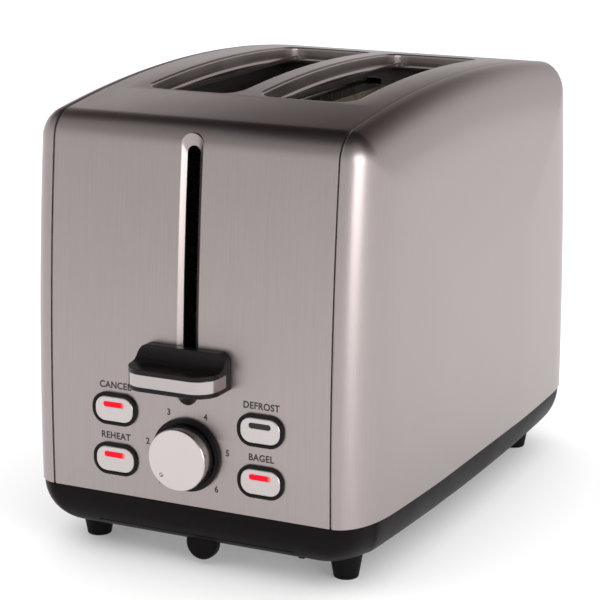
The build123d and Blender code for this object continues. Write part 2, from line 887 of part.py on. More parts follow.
lever_face = face_depth(lever_level)
handle_back = body_length / 2 - lever_face + sliding
handle_nose = body_length / 2 + lever_reach
shelf_back = handle_nose - handle_shelf_depth
plate_front = handle_back + handle_plate
scoop_middle = (
    -(shelf_back * scoop_share + plate_front * (1 - scoop_share)),
    lever_level + handle_shelf + (handle_height - handle_shelf) * scoop_share,
)


def handle_plan(inset, level, height):
    """The handle seen from above as a solid between two levels, with round corners at its nose."""
    depth = handle_nose - handle_back
    with BuildPart() as plan:
        with BuildSketch(Plane.XY.offset(level)) as outline:
            with Locations((0, body_mid - handle_back - depth / 2)):
                Rectangle(handle_width - 2 * inset, depth - 2 * inset)
            nose_corners = outline.vertices().group_by(Axis.Y)[0]
            fillet(nose_corners, handle_corner - inset)
        extrude(amount=height)
    return plan.part


trim_low = lever_level + trim_level
with BuildPart() as lever_trim:
    add(handle_plan(0.0, trim_low, trim_height))
    add(handle_plan(trim_thickness, trim_low, trim_height), mode=Mode.SUBTRACT)
    block(
        (-handle_width, handle_width),
        (-plate_front, -handle_back),
        (trim_low, trim_low + trim_height),
        Mode.SUBTRACT,
    )
save(lever_trim, "lever_trim")

with BuildPart() as lever_handle:
    with BuildSketch(side_plane(-handle_width / 2)):
        with BuildLine():
            Polyline(
                (-plate_front, lever_level + handle_height),
                (-handle_back, lever_level + handle_height),
                (-handle_back, lever_level),
                (-handle_nose, lever_level),
                (-handle_nose, lever_level + handle_shelf),
                (-shelf_back, lever_level + handle_shelf),
            )
            ThreePointArc(
                (-shelf_back, lever_level + handle_shelf),
                scoop_middle,
                (-plate_front, lever_level + handle_height),
            )
        make_face()
    extrude(amount=handle_width)
    add(handle_plan(0.0, lever_level, handle_height), mode=Mode.INTERSECT)
    with BuildSketch(front_plane(-lever_reach)):
        with Locations((0, lever_level)):
            RectangleRounded(handle_width, 2 * handle_height, plate_corner)
    extrude(amount=-2 * lever_reach, mode=Mode.INTERSECT)
    add(lever_trim.part, mode=Mode.SUBTRACT)
    block(
        (-tongue_thickness / 2 - fit_gap, tongue_thickness / 2 + fit_gap),
        (tongue_front, 0.0),
        (tongue_low - fit_gap, tongue_top + fit_gap),
        Mode.SUBTRACT,
    )
save(lever_handle, "lever_handle")

# --- Knob, buttons and control board ----------------------------------------

with BuildPart() as knob_ring:
    with BuildSketch(front_plane(0)):
        with Locations((0, knob_level)):
            Circle(knob_ring_diameter / 2)
            Circle(knob_hole_diameter / 2, mode=Mode.SUBTRACT)
    extrude(amount=knob_ring_depth)
    with BuildSketch(front_plane(-knob_ring_plate)):
        with Locations((0, knob_level)):
            Circle(knob_ring_diameter / 2 - knob_ring_wall)
    extrude(amount=knob_ring_depth, mode=Mode.SUBTRACT)
save(knob_ring, "knob_ring")

mark_turn = radians(knob_mark_angle)
knob_back = -knob_ring_plate - sliding
with BuildPart() as knob:
    with BuildSketch(front_plane(knob_back)):
        with Locations((0, knob_level)):
            Circle(knob_diameter / 2)
    extrude(amount=knob_depth + knob_back)
    fillet(knob.edges().sort_by(Axis.Y)[0], knob_round)
    with BuildSketch(front_plane(knob_back)):
        with Locations((0, knob_level)):
            Circle(knob_shaft_diameter / 2)
    extrude(amount=knob_bore_depth, mode=Mode.SUBTRACT)
    with Locations(
        (
            knob_mark_radius * cos(mark_turn),
            front - knob_depth,
            knob_level + knob_mark_radius * sin(mark_turn),
        )
    ):
        Sphere(knob_mark_size, mode=Mode.SUBTRACT)
save(knob, "knob")

board_front = board_depth - body_length / 2
pot_front = board_front - pot_size[2]
shaft_front = -body_length / 2 + knob_back - knob_bore_depth
shaft_rear = pot_front + pot_bore_depth
with BuildPart() as knob_shaft:
    along(0.0, knob_level, (shaft_front, shaft_rear - sliding), knob_shaft_diameter / 2)
save(knob_shaft, "knob_shaft")

with BuildPart() as potentiometer:
    block(
        (-pot_size[0] / 2, pot_size[0] / 2),
        (pot_front, board_front),
        (knob_level - pot_size[1] / 2, knob_level + pot_size[1] / 2),
    )
    along(0.0, knob_level, (pot_front - pot_bush_reach, pot_front), pot_bush_diameter / 2)
    along(
        0.0,
        knob_level,
        (pot_front - pot_bush_reach, shaft_rear),
        knob_shaft_diameter / 2 + running,
        Mode.SUBTRACT,
    )
save(potentiometer, "potentiometer")

with BuildPart() as control_board:
    block(
        (-board_half_width, board_half_width),
        (board_front, board_front + board_sheet),
        (board_low, board_high),
    )
save(control_board, "control_board")

with BuildPart() as relay:
    block(
        (relay_place[0] - relay_size[0] / 2, relay_place[0] + relay_size[0] / 2),
        (board_front + board_sheet, board_front + board_sheet + relay_size[2]),
        (relay_place[1] - relay_size[1] / 2, relay_place[1] + relay_size[1] / 2),
    )
save(relay, "relay")

switch_front = board_front - switch_size[2]
with BuildPart() as button_switches:
    for x, level in button_places.values():
        block(
            (x - switch_size[0] / 2, x + switch_size[0] / 2),
            (switch_front, board_front),
            (level - switch_size[1] / 2, level + switch_size[1] / 2),
        )
save(button_switches, "button_switches")

with BuildPart() as indicator_lamps:
    for x, level in button_places.values():
        along(
            x + lamp_shift,
            level + lens_offset,
            (board_front - lamp_height, board_front),
            lamp_diameter / 2,
        )
save(indicator_lamps, "indicator_lamps")

sleeve_end = bezel_sleeve
stem_end = switch_front + body_length / 2 - button_travel - sliding
flange_front = sleeve_end + fit_gap
cap_front = -bezel_depth - button_proud
for name, place in button_places.items():
    with BuildPart() as bezel:
        with BuildSketch(front_plane(0)):
            with Locations(place):
                RectangleRounded(bezel_width, bezel_height, bezel_corner)
        extrude(amount=bezel_depth)
        with BuildSketch(front_plane(sleeve_end)):
            with Locations(place):
                RectangleRounded(sleeve_width, sleeve_height, sleeve_corner)
        extrude(amount=sleeve_end)
        with BuildSketch(front_plane(sleeve_end)):
            with Locations(place):
                RectangleRounded(
                    button_width + 2 * button_gap,
                    button_height + 2 * button_gap,
                    button_corner + button_gap,
                )
        extrude(amount=sleeve_end + bezel_depth, mode=Mode.SUBTRACT)
    save(bezel, f"button_bezel_{name}")

    window = (place[0], place[1] + lens_offset)
    with BuildPart() as cap:
        with BuildSketch(front_plane(flange_front)):
            with Locations(place):
                RectangleRounded(button_width, button_height, button_corner)
        extrude(amount=flange_front - cap_front)
        fillet(cap.faces().sort_by(Axis.Y)[0].edges(), cap_round)
        with BuildSketch(front_plane(flange_front + button_flange)):
            with Locations(place):
                RectangleRounded(sleeve_width, sleeve_height, sleeve_corner)
        extrude(amount=button_flange)
        with BuildSketch(front_plane(stem_end)):
            with Locations(place):
                Circle(button_stem_diameter / 2)
        extrude(amount=stem_end - flange_front)
        with BuildSketch(front_plane(cap_front)):
            with Locations(window):
                SlotOverall(lens_width, lens_height)
        extrude(amount=-lens_depth, mode=Mode.SUBTRACT)
    save(cap, f"button_cap_{name}")

    with BuildPart() as lens:
        with BuildSketch(front_plane(cap_front + lens_depth)):
            with Locations(window):
                SlotOverall(lens_width - 2 * running, lens_height - 2 * running)
        extrude(amount=lens_depth)
    save(lens, f"button_lens_{name}")
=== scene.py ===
import json
import logging
import math
from dataclasses import dataclass
from enum import Enum

import bmesh
import bpy
from mathutils import Matrix, Vector


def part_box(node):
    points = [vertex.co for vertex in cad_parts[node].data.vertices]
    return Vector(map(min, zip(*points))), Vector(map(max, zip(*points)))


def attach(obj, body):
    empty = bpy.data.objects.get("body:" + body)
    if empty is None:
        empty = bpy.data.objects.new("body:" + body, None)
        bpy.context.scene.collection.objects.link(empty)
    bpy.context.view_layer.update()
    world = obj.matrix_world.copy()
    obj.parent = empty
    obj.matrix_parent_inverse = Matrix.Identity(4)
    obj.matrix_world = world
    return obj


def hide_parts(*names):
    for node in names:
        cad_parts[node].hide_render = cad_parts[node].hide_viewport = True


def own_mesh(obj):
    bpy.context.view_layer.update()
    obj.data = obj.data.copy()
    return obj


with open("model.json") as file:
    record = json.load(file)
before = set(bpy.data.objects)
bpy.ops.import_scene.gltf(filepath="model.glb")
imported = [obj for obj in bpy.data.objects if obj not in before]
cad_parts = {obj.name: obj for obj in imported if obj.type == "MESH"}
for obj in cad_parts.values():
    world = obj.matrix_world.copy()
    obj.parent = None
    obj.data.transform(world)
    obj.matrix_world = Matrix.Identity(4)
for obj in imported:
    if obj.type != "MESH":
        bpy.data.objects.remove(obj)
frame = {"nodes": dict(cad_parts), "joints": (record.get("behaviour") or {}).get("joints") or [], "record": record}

LOG = logging.getLogger("toaster")
NODE_BODY = {
    node: body
    for body, nodes in frame["record"]["behaviour"]["bodies"].items()
    for node in nodes
}
FULL_TURN = 2 * math.pi
MERGE = 1e-6
SHARP_ANGLE = math.radians(32)
NOISE_LOW = 0.3
NOISE_HIGH = 0.7
LOOP_STEPS = 12
LOOP_CUTS = 36


# --- Shader building ----------------------------------------------------------


class Signal:
    """A shader socket that writes its Math nodes from Python expressions."""

    def __init__(self, graph: "Graph", socket: bpy.types.NodeSocket) -> None:
        """Wraps a socket.

        Args:
            graph: The material graph that the socket belongs to.
            socket: An output socket that carries a number.
        """
        self.graph = graph
        self.socket = socket

    def _maths(self, operation: str, left: "Signal | float", right: "Signal | float") -> "Signal":
        """Adds one Math node.

        Args:
            operation: The node's operation.
            left: First operand.
            right: Second operand.

        Returns:
            The node's output.
        """
        node = self.graph.add("ShaderNodeMath", {"operation": operation}, {0: left, 1: right})
        return Signal(self.graph, node.outputs[0])

    def __add__(self, other: "Signal | float") -> "Signal":
        """Sum."""
        return self._maths("ADD", self, other)

    def __sub__(self, other: "Signal | float") -> "Signal":
        """Difference."""
        return self._maths("SUBTRACT", self, other)

    def __mul__(self, other: "Signal | float") -> "Signal":
        """Product."""
        return self._maths("MULTIPLY", self, other)

    def sine(self) -> "Signal":
        """Sine of the signal."""
        return self._maths("SINE", self, 0.0)

    def ramp(self, low: float, high: float, start: float = 0.0, end: float = 1.0) -> "Signal":
        """Moves a range to another one and holds it there.

        Args:
            low: Signal at the start.
            high: Signal at the end.
            start: Value given at low.
            end: Value given at high.

        Returns:
            The moved signal.
        """
        sockets = {0: self, 1: low, 2: high, 3: start, 4: end}
        node = self.graph.add("ShaderNodeMapRange", {"clamp": True}, sockets)
        return Signal(self.graph, node.outputs[0])

    def spread(self, start: float = 0.0, end: float = 1.0) -> "Signal":
        """Moves the usual range of a noise signal to another one.

        Args:
            start: Value given at the low end.
            end: Value given at the high end.

        Returns:
            The moved signal.
        """
        return self.ramp(NOISE_LOW, NOISE_HIGH, start, end)


Value = Signal | float | int | tuple | bpy.types.NodeSocket


class Graph:
    """The node tree of one material."""

    def __init__(self, name: str) -> None:
        """Starts an empty material.

        Args:
            name: Name of the material.
        """
        self.material = bpy.data.materials.new(name)
        self.material.use_nodes = True
        self.tree = self.material.node_tree
        self.tree.nodes.clear()

    def add(
        self, kind: str, settings: dict | None = None, sockets: dict | None = None
    ) -> bpy.types.Node:
        """Adds any node.

        Args:
            kind: The node's type.
            settings: Its own settings, among them the stops of a colour ramp, set first.
            sockets: A value or a link for each input, by name or number.

        Returns:
            The new node.
        """
        node = self.tree.nodes.new(kind)
        for key, value in (settings or {}).items():
            if key == "stops":
                self.set_stops(node.color_ramp, value)
            else:
                setattr(node, key, value)
        for key, value in (sockets or {}).items():
            if isinstance(value, Signal):
                self.tree.links.new(value.socket, node.inputs[key])
            elif isinstance(value, bpy.types.NodeSocket):
                self.tree.links.new(value, node.inputs[key])
            else:
                node.inputs[key].default_value = value
        return node

    @staticmethod
    def set_stops(ramp: bpy.types.ColorRamp, stops: list[tuple]) -> None:
        """Writes a colour ramp.

        Args:
            ramp: The ramp.
            stops: Place and colour of each stop.
        """
        while len(ramp.elements) < len(stops):
            ramp.elements.new(0.5)
        for element, (place, colour) in zip(ramp.elements, stops):
            element.position = place
            element.color = colour

    def coordinates(self, scale: tuple, centre: tuple = (0.0, 0.0, 0.0)) -> bpy.types.NodeSocket:
        """Object coordinates, centred on a point and stretched.

        Args:
            scale: Scale along each axis, per metre.
            centre: The point that becomes the middle.

        Returns:
            The vector output.
        """
        place = self.add("ShaderNodeTexCoord").outputs["Object"]
        shift = tuple(-c * s for c, s in zip(centre, scale))
        sockets = {"Vector": place, "Location": shift, "Scale": scale}
        return self.add("ShaderNodeMapping", {}, sockets).outputs["Vector"]

    def noise(self, scale: tuple, detail: float = 3.0, rough: float = 0.55) -> Signal:
        """Noise with its own scale along each axis.

        Args:
            scale: Cells per metre along X, Y and Z.
            detail: Number of finer layers.
            rough: Weight of the finer layers.

        Returns:
            A signal round 0.5.
        """
        sockets = {
            "Vector": self.coordinates(scale),
            "Scale": 1.0,
            "Detail": detail,
            "Roughness": rough,
        }
        return Signal(self, self.add("ShaderNodeTexNoise", {}, sockets).outputs["Fac"])

    def blend(self, factor: Value, low: tuple, high: tuple) -> bpy.types.NodeSocket:
        """Mixes two colours.

        Args:
            factor: Share of the second colour.
            low: First colour.
            high: Second colour.

        Returns:
            The colour output.
        """
        sockets = {0: factor, 6: low, 7: high}
        node = self.add("ShaderNodeMix", {"data_type": "RGBA"}, sockets)
        return node.outputs[2]

    def tinted(
        self, factor: Value, colour: tuple, low: float, high: float
    ) -> bpy.types.NodeSocket:
        """Varies one colour between a darker and a lighter share of it.

        Args:
            factor: Share of the lighter one.
            colour: The colour.
            low: The darker share.
            high: The lighter share.

        Returns:
            The colour output.
        """
        return self.blend(factor, shade(colour, low), shade(colour, high))

    def relief(self, height: Signal, depth: float, edge: float = 0.0) -> bpy.types.NodeSocket:
        """A normal from a height signal, over edges that look rounded.

        Args:
            height: The height, from 0 to 1.
            depth: The height of a full step, in metres.
            edge: Radius of the rounded look of edges, in metres.

        Returns:
            The normal output.
        """
        sockets = {"Height": height, "Distance": depth, "Strength": 1.0}
        if edge > 0:
            rounding = self.add("ShaderNodeBevel", {"samples": 4}, {"Radius": edge})
            sockets["Normal"] = rounding.outputs["Normal"]
        return self.add("ShaderNodeBump", {}, sockets).outputs["Normal"]

    def surface(self, sockets: dict) -> bpy.types.Material:
        """Ends the graph with a Principled shader.

        Args:
            sockets: The shader's inputs.

        Returns:
            The finished material.
        """
        shader = self.add("ShaderNodeBsdfPrincipled", {}, sockets)
        self.add("ShaderNodeOutputMaterial", {}, {"Surface": shader.outputs["BSDF"]})
        return self.material


def rgb(red: float, green: float, blue: float) -> tuple:
    """An opaque linear colour."""
    return (red, green, blue, 1.0)


def shade(colour: tuple, share: float) -> tuple:
    """A colour made lighter or darker by a share."""
    return tuple(min(1.0, part * share) for part in colour[:3]) + (1.0,)


class Grain(Enum):
    """Direction of the brushing, as scales of its streaks along X, Y and Z per metre."""

    UPRIGHT = (4200.0, 40.0, 40.0)
    SIDE_UPRIGHT = (4200.0, 4200.0, 40.0)
    ALONG_FRONT = (40.0, 900.0, 2600.0)


@dataclass(frozen=True)
class BrushedSteel:
    """Satin brushed stainless sheet."""

    name: str
    grain: Grain = Grain.UPRIGHT
    colour: tuple = rgb(0.345, 0.304, 0.298)
    roughness: float = 0.34
    depth: float = 1.2e-6
    edge: float = 0.0

    def build(self) -> bpy.types.Material:
        """Fine streaks over a soft cloudiness."""
        graph = Graph(self.name)
        streaks = graph.noise(self.grain.value, 1.0, 0.4)
        clouds = graph.noise((9.0, 9.0, 9.0), 2.0, 0.4)
        tone = streaks * 0.55 + clouds * 0.45
        return graph.surface(
            {
                "Base Color": graph.tinted(tone.spread(), self.colour, 0.93, 1.07),
                "Metallic": 1.0,
                "Roughness": tone.spread(self.roughness - 0.05, self.roughness + 0.06),
                "Normal": graph.relief(streaks, self.depth, self.edge),
            }
        )


@dataclass(frozen=True)
class PolishedMetal:
    """Chrome or plated metal with faint polishing marks and handling haze."""

    name: str
    colour: tuple = rgb(0.72, 0.71, 0.7)
    roughness: float = 0.1
    edge: float = 0.0

    def build(self) -> bpy.types.Material:
        """Haze in the roughness and a soft waviness."""
        graph = Graph(self.name)
        haze = graph.noise((160.0, 160.0, 160.0), 4.0, 0.65)
        waves = graph.noise((420.0, 420.0, 420.0), 1.0)
        return graph.surface(
            {
                "Base Color": graph.tinted(haze, self.colour, 0.95, 1.05),
                "Metallic": 1.0,
                "Roughness": haze.ramp(0.3, 0.75, self.roughness * 0.7, self.roughness * 1.6),
                "Normal": graph.relief(waves, 3e-6, self.edge),
            }
        )


@dataclass(frozen=True)
class SpunMetal:
    """Satin metal face turned on a lathe, with rings round its axis."""

    name: str
    centre: tuple
    colour: tuple = rgb(0.58, 0.535, 0.525)
    roughness: float = 0.36
    ring_pitch: float = 0.0004

    def build(self) -> bpy.types.Material:
        """Fine rings that follow the distance from the axis."""
        graph = Graph(self.name)
        place = graph.coordinates((1.0, 0.0, 1.0), self.centre)
        length = graph.add("ShaderNodeVectorMath", {"operation": "LENGTH"}, {0: place})
        reach = Signal(graph, length.outputs["Value"])
        rings = (reach * (FULL_TURN / self.ring_pitch)).sine() * 0.5 + 0.5
        cast = graph.noise((700.0, 700.0, 700.0), 4.0, 0.7)
        tone = rings * 0.4 + cast * 0.6
        return graph.surface(
            {
                "Base Color": graph.tinted(tone, self.colour, 0.95, 1.05),
                "Metallic": 1.0,
                "Roughness": tone.ramp(0.2, 0.8, self.roughness - 0.05, self.roughness + 0.07),
                "Normal": graph.relief(tone, 2e-6),
            }
        )


@dataclass(frozen=True)
class MouldedPlastic:
    """Injection moulded plastic with a spark-eroded texture and rubbed high spots."""

    name: str
    colour: tuple
    roughness: float = 0.38
    texture: float = 1500.0
    depth: float = 8e-6
    edge: float = 0.0
    sheen: float = 0.3

    def build(self) -> bpy.types.Material:
        """Fine texture under larger patches where hands have polished it."""
        graph = Graph(self.name)
        texture = graph.noise((self.texture, self.texture, self.texture), 3.0, 0.6)
        patches = graph.noise((45.0, 45.0, 45.0), 3.0, 0.5)
        tone = texture * 0.35 + patches * 0.65
        return graph.surface(
            {
                "Base Color": graph.tinted(tone.spread(), self.colour, 0.85, 1.2),
                "Roughness": tone.spread(self.roughness - 0.06, self.roughness + 0.08),
                "Specular IOR Level": self.sheen,
                "Normal": graph.relief(texture, self.depth, self.edge),
            }
        )


@dataclass(frozen=True)
class SilverCoat:
    """Satin silver paint on moulded caps, with fine flake."""

    name: str
    colour: tuple = rgb(0.52, 0.48, 0.47)
    roughness: float = 0.3
    edge: float = 0.0

    def build(self) -> bpy.types.Material:
        """Flake that changes the tone and roughness from spot to spot."""
        graph = Graph(self.name)
        flake = graph.noise((5200.0, 5200.0, 5200.0), 2.0, 0.7)
        rubs = graph.noise((320.0, 320.0, 320.0), 2.0, 0.5)
        tone = flake * 0.6 + rubs * 0.4
        return graph.surface(
            {
                "Base Color": graph.tinted(tone.spread(), self.colour, 0.96, 1.04),
                "Metallic": 0.85,
                "Roughness": tone.spread(self.roughness - 0.06, self.roughness + 0.08),
                "Normal": graph.relief(flake, 3e-6, self.edge),
            }
        )


@dataclass(frozen=True)
class LitLens:
    """Small light window, lit from behind by its lamp, with a painted highlight towards one end."""

    name: str
    centre: tuple
    half_width: float
    glow: float = 1.0
    colour: tuple = rgb(0.9, 0.002, 0.022)
    # Pale tint of the painted highlight.
    painted_highlight_tint: tuple = rgb(1.0, 0.42, 0.36)

    def build(self) -> bpy.types.Material:
        """Red glow from the lamp, with a painted pale highlight towards the right end."""
        graph = Graph(self.name)
        place = graph.coordinates((1 / self.half_width,) * 3, self.centre)
        split = graph.add("ShaderNodeSeparateXYZ", {}, {0: place})
        across = Signal(graph, split.outputs["X"])
        grain = graph.noise((2600.0, 2600.0, 2600.0), 3.0, 0.6)
        # Painted highlight: the emission turns pale towards the right end of the window.
        highlight_share = across.ramp(0.35, 1.0) + grain * 0.4 - 0.35
        colour = graph.blend(highlight_share.ramp(0.35, 1.0), self.colour, self.painted_highlight_tint)
        return graph.surface(
            {
                "Base Color": graph.tinted(grain, self.colour, 0.05, 0.1),
                "Roughness": grain.spread(0.14, 0.24),
                "Emission Color": colour,
                "Emission Strength": self.glow,
                "Specular IOR Level": 0.12,
            }
        )


@dataclass(frozen=True)
class PrintedInk:
    """Pad-printed ink with slightly uneven cover."""

    name: str
    colour: tuple = rgb(0.006, 0.005, 0.0055)

    def build(self) -> bpy.types.Material:
        """Uneven cover at the scale of the brushing below it."""
        graph = Graph(self.name)
        cover = graph.noise((2600.0, 300.0, 300.0), 3.0, 0.6)
        return graph.surface(
            {
                "Base Color": graph.blend(cover, self.colour, shade(self.colour, 1.9)),
                "Roughness": cover.spread(0.42, 0.6),
                "Normal": graph.relief(cover, 2e-6),
            }
        )


@dataclass(frozen=True)
class MicaSheet:
    """Pressed mica: pearly flakes in a tan sheet, darkened as painted shade for the inside of the chamber."""

    name: str
    # Tan darkened below the mica's own tone as painted shade for the inside of the chamber.
    colour: tuple = rgb(0.2, 0.165, 0.12)

    def build(self) -> bpy.types.Material:
        """Flakes from cell noise, some of them bright."""
        graph = Graph(self.name)
        cells = graph.add(
            "ShaderNodeTexVoronoi", {}, {"Vector": graph.coordinates((260.0,) * 3), "Scale": 1.0}
        )
        flake = Signal(graph, cells.outputs["Distance"])
        stain = graph.noise((60.0, 60.0, 60.0), 4.0, 0.6)
        tone = flake * 0.5 + stain * 0.5
        return graph.surface(
            {
                "Base Color": graph.blend(
                    tone.ramp(0.2, 0.8), shade(self.colour, 0.6), shade(self.colour, 1.4)
                ),
                "Roughness": tone.ramp(0.2, 0.8, 0.35, 0.65),
                "Normal": graph.relief(flake, 6e-5),
            }
        )


@dataclass(frozen=True)
class HeatedRibbon:
    """Resistance ribbon with the blue and brown tints of heat."""

    name: str

    def build(self) -> bpy.types.Material:
        """Tint that changes slowly along the ribbon."""
        graph = Graph(self.name)
        tint = graph.noise((30.0, 40.0, 55.0), 3.0, 0.5)
        stops = [
            (0.3, rgb(0.2, 0.17, 0.16)),
            (0.5, rgb(0.3, 0.2, 0.13)),
            (0.7, rgb(0.16, 0.17, 0.22)),
        ]
        ramp = graph.add("ShaderNodeValToRGB", {"stops": stops}, {"Fac": tint})
        return graph.surface(
            {
                "Base Color": ramp.outputs["Color"],
                "Metallic": 0.9,
                "Roughness": tint.spread(0.35, 0.55),
            }
        )


@dataclass(frozen=True)
class CircuitBoard:
    """Green solder mask over copper tracks."""

    name: str

    def build(self) -> bpy.types.Material:
        """Tracks as a raised, lighter brick pattern."""
        graph = Graph(self.name)
        sockets = {
            "Vector": graph.coordinates((180.0, 180.0, 180.0)),
            "Scale": 1.0,
            "Mortar Size": 0.08,
            "Color1": rgb(0, 0, 0),
            "Color2": rgb(0, 0, 0),
            "Mortar": rgb(1, 1, 1),
        }
        tracks = Signal(graph, graph.add("ShaderNodeTexBrick", {}, sockets).outputs["Fac"])
        mask = graph.noise((900.0, 900.0, 900.0), 2.0)
        tone = tracks * 0.7 + mask * 0.3
        return graph.surface(
            {
                "Base Color": graph.blend(tone, rgb(0.012, 0.07, 0.028), rgb(0.04, 0.2, 0.08)),
                "Roughness": mask.spread(0.2, 0.35),
                "Normal": graph.relief(tracks, 4e-5),
            }
        )


@dataclass(frozen=True)
class CopperCoil:
    """Enamelled copper wire, wound in layers round an upright axis."""

    name: str
    wire: float = 0.0005

    def build(self) -> bpy.types.Material:
        """Turns of wire as ridges along Z, with painted shade in the grooves and lighter crests."""
        graph = Graph(self.name)
        place = graph.coordinates((0.0, 0.0, FULL_TURN / self.wire))
        split = graph.add("ShaderNodeSeparateXYZ", {}, {0: place})
        turns_and_groove_shade = Signal(graph, split.outputs["Z"]).sine() * 0.5 + 0.5
        return graph.surface(
            {
                # Base colour: painted shade, darker copper in the grooves between turns and lighter on the crests.
                "Base Color": graph.blend(turns_and_groove_shade, rgb(0.16, 0.05, 0.018), rgb(0.5, 0.2, 0.07)),
                "Metallic": 0.9,
                "Roughness": turns_and_groove_shade.ramp(0.0, 1.0, 0.4, 0.25),
                "Normal": graph.relief(turns_and_groove_shade, 1e-4),
            }
        )


@dataclass(frozen=True)
class StudioSweep:
    """The pale, plain floor."""

    name: str = "studio_floor"
    colour: tuple = rgb(0.72, 0.72, 0.72)
    lift: float = 0.2

    def build(self) -> bpy.types.Material:
        """A matte surface with the faintest mottling."""
        graph = Graph(self.name)
        mottle = graph.noise((3.0, 3.0, 3.0), 2.0)
        return graph.surface(
            {
                "Base Color": graph.blend(mottle, shade(self.colour, 0.99), self.colour),
                "Roughness": 0.9,
                "Specular IOR Level": 0.1,
                "Emission Color": rgb(1.0, 1.0, 1.0),
                "Emission Strength": self.lift,
            }
        )


# --- Mesh building ------------------------------------------------------------


def publish(
    name: str,
    mesh: bpy.types.Mesh,
    body: str,
    finishes: list[bpy.types.Material],
    stands_for: tuple[str, ...] = (),
) -> bpy.types.Object:
    """Makes a finished mesh a piece of the toaster.

    Args:
        name: The piece's name.
        mesh: Its mesh, with its place in its vertices.
        body: The CAD body that it rides on.
        finishes: Its materials, in slot order.
        stands_for: CAD nodes that it replaces.

    Returns:
        The new object.
    """
    piece = bpy.data.objects.new(name, mesh)
    bpy.context.scene.collection.objects.link(piece)
    piece.data.materials.clear()
    for finish in finishes:
        piece.data.materials.append(finish)
    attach(piece, body)
    if stands_for:
        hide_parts(*stands_for)
    LOG.info("%s: %d faces on %s", name, len(mesh.polygons), body)
    return piece


def soften(bm: bmesh.types.BMesh, limit: float = SHARP_ANGLE) -> None:
    """Shades a mesh smooth up to a sharp angle.

    Args:
        bm: The mesh.
        limit: Edges that turn by more stay sharp.
    """
    for face in bm.faces:
        face.smooth = True
    for edge in bm.edges:
        edge.smooth = len(edge.link_faces) == 2 and edge.calc_face_angle(0.0) < limit


def to_mesh(bm: bmesh.types.BMesh, name: str, limit: float = SHARP_ANGLE) -> bpy.types.Mesh:
    """Merges doubles, turns faces outwards and writes the mesh.

    Args:
        bm: The mesh being built, which is freed.
        name: Name of the mesh.
        limit: Edges that turn by more stay sharp.

    Returns:
        The written mesh.
    """
    bmesh.ops.remove_doubles(bm, verts=bm.verts[:], dist=MERGE)
    bmesh.ops.recalc_face_normals(bm, faces=bm.faces[:])
    soften(bm, limit)
    mesh = bpy.data.meshes.new(name)
    bm.to_mesh(mesh)
    bm.free()
    return mesh


def weight_normals(piece: bpy.types.Object) -> None:
    """Lets large flat faces decide the shading of the vertices that they share."""
    weighting = piece.modifiers.new("weighted", "WEIGHTED_NORMAL")
    weighting.mode = "FACE_AREA"
    weighting.keep_sharp = True


def merged_copy(
    node: str, finishes: list[bpy.types.Material], body: str | None = None
) -> bpy.types.Object:
    """A smooth-shaded copy of a CAD node, standing for it.

    Args:
        node: The CAD node.
        finishes: Materials of the copy.
        body: Body that it rides on, where that isn't the node's own.

    Returns:
        The copy.
    """
    bm = bmesh.new()
    bm.from_mesh(frame["nodes"][node].data)
    bmesh.ops.remove_doubles(bm, verts=bm.verts[:], dist=MERGE)
    soften(bm)
    mesh = bpy.data.meshes.new(f"{node}_surface")
    bm.to_mesh(mesh)
    bm.free()
    piece = publish(f"{node}_surface", mesh, body or NODE_BODY[node], finishes, (node,))
    weight_normals(piece)
    return piece


def newest(elements: bmesh.types.BMVertSeq | bmesh.types.BMFaceSeq, count: int) -> list:
    """The parts of a mesh that came after the first so many."""
    elements.ensure_lookup_table()
    return elements[count:]


def rounded_loop(
    bm: bmesh.types.BMesh, half: tuple[float, float], corner: float, steps: int, cuts: int
) -> list[bmesh.types.BMVert]:
    """A flat rounded rectangle of edges round the origin.

    Args:
        bm: The mesh to add to.
        half: Half its width and half its height.
        corner: Radius of its corners.
        steps: Segments of each corner.
        cuts: Cuts of each straight side.

    Returns:
        The loop's vertices.
    """
    known = len(bm.verts)
    made = bmesh.ops.create_circle(
        bm,
        cap_ends=False,
        radius=corner,
        segments=4 * steps,
        matrix=Matrix.Rotation(math.pi / (4 * steps), 4, "Z"),
    )
    for vert in made["verts"]:
        vert.co.x += math.copysign(half[0] - corner, vert.co.x)
        vert.co.y += math.copysign(half[1] - corner, vert.co.y)
    if cuts:
        edges = {edge for vert in made["verts"] for edge in vert.link_edges}
        bound = 2.0 * corner * math.sin(math.pi / (4 * steps)) * 1.5
        sides = [edge for edge in edges if edge.calc_length() > bound]
        bmesh.ops.subdivide_edges(bm, edges=sides, cuts=cuts)
    return newest(bm.verts, known)


def loop_edges(bm: bmesh.types.BMesh, verts: list[bmesh.types.BMVert]) -> list[bmesh.types.BMEdge]:
    """The edges between a set of vertices."""
    bm.verts.index_update()
    bm.edges.index_update()
    members = {vert.index for vert in verts}
    found = {}
    for vert in verts:
        for edge in vert.link_edges:
            if edge.other_vert(vert).index in members:
                found[edge.index] = edge
    return list(found.values())


def bridge_rows(bm: bmesh.types.BMesh, rows: list[list], closed: bool) -> None:
    """Joins rows of edges with faces.

    Args:
        bm: The mesh.
        rows: The edges of each row, in order.
        closed: Also join the last row to the first.
    """
    pairs = list(zip(rows, rows[1:]))
    if closed:
        pairs.append((rows[-1], rows[0]))
    for one, other in pairs:
        bmesh.ops.bridge_loops(bm, edges=one + other)


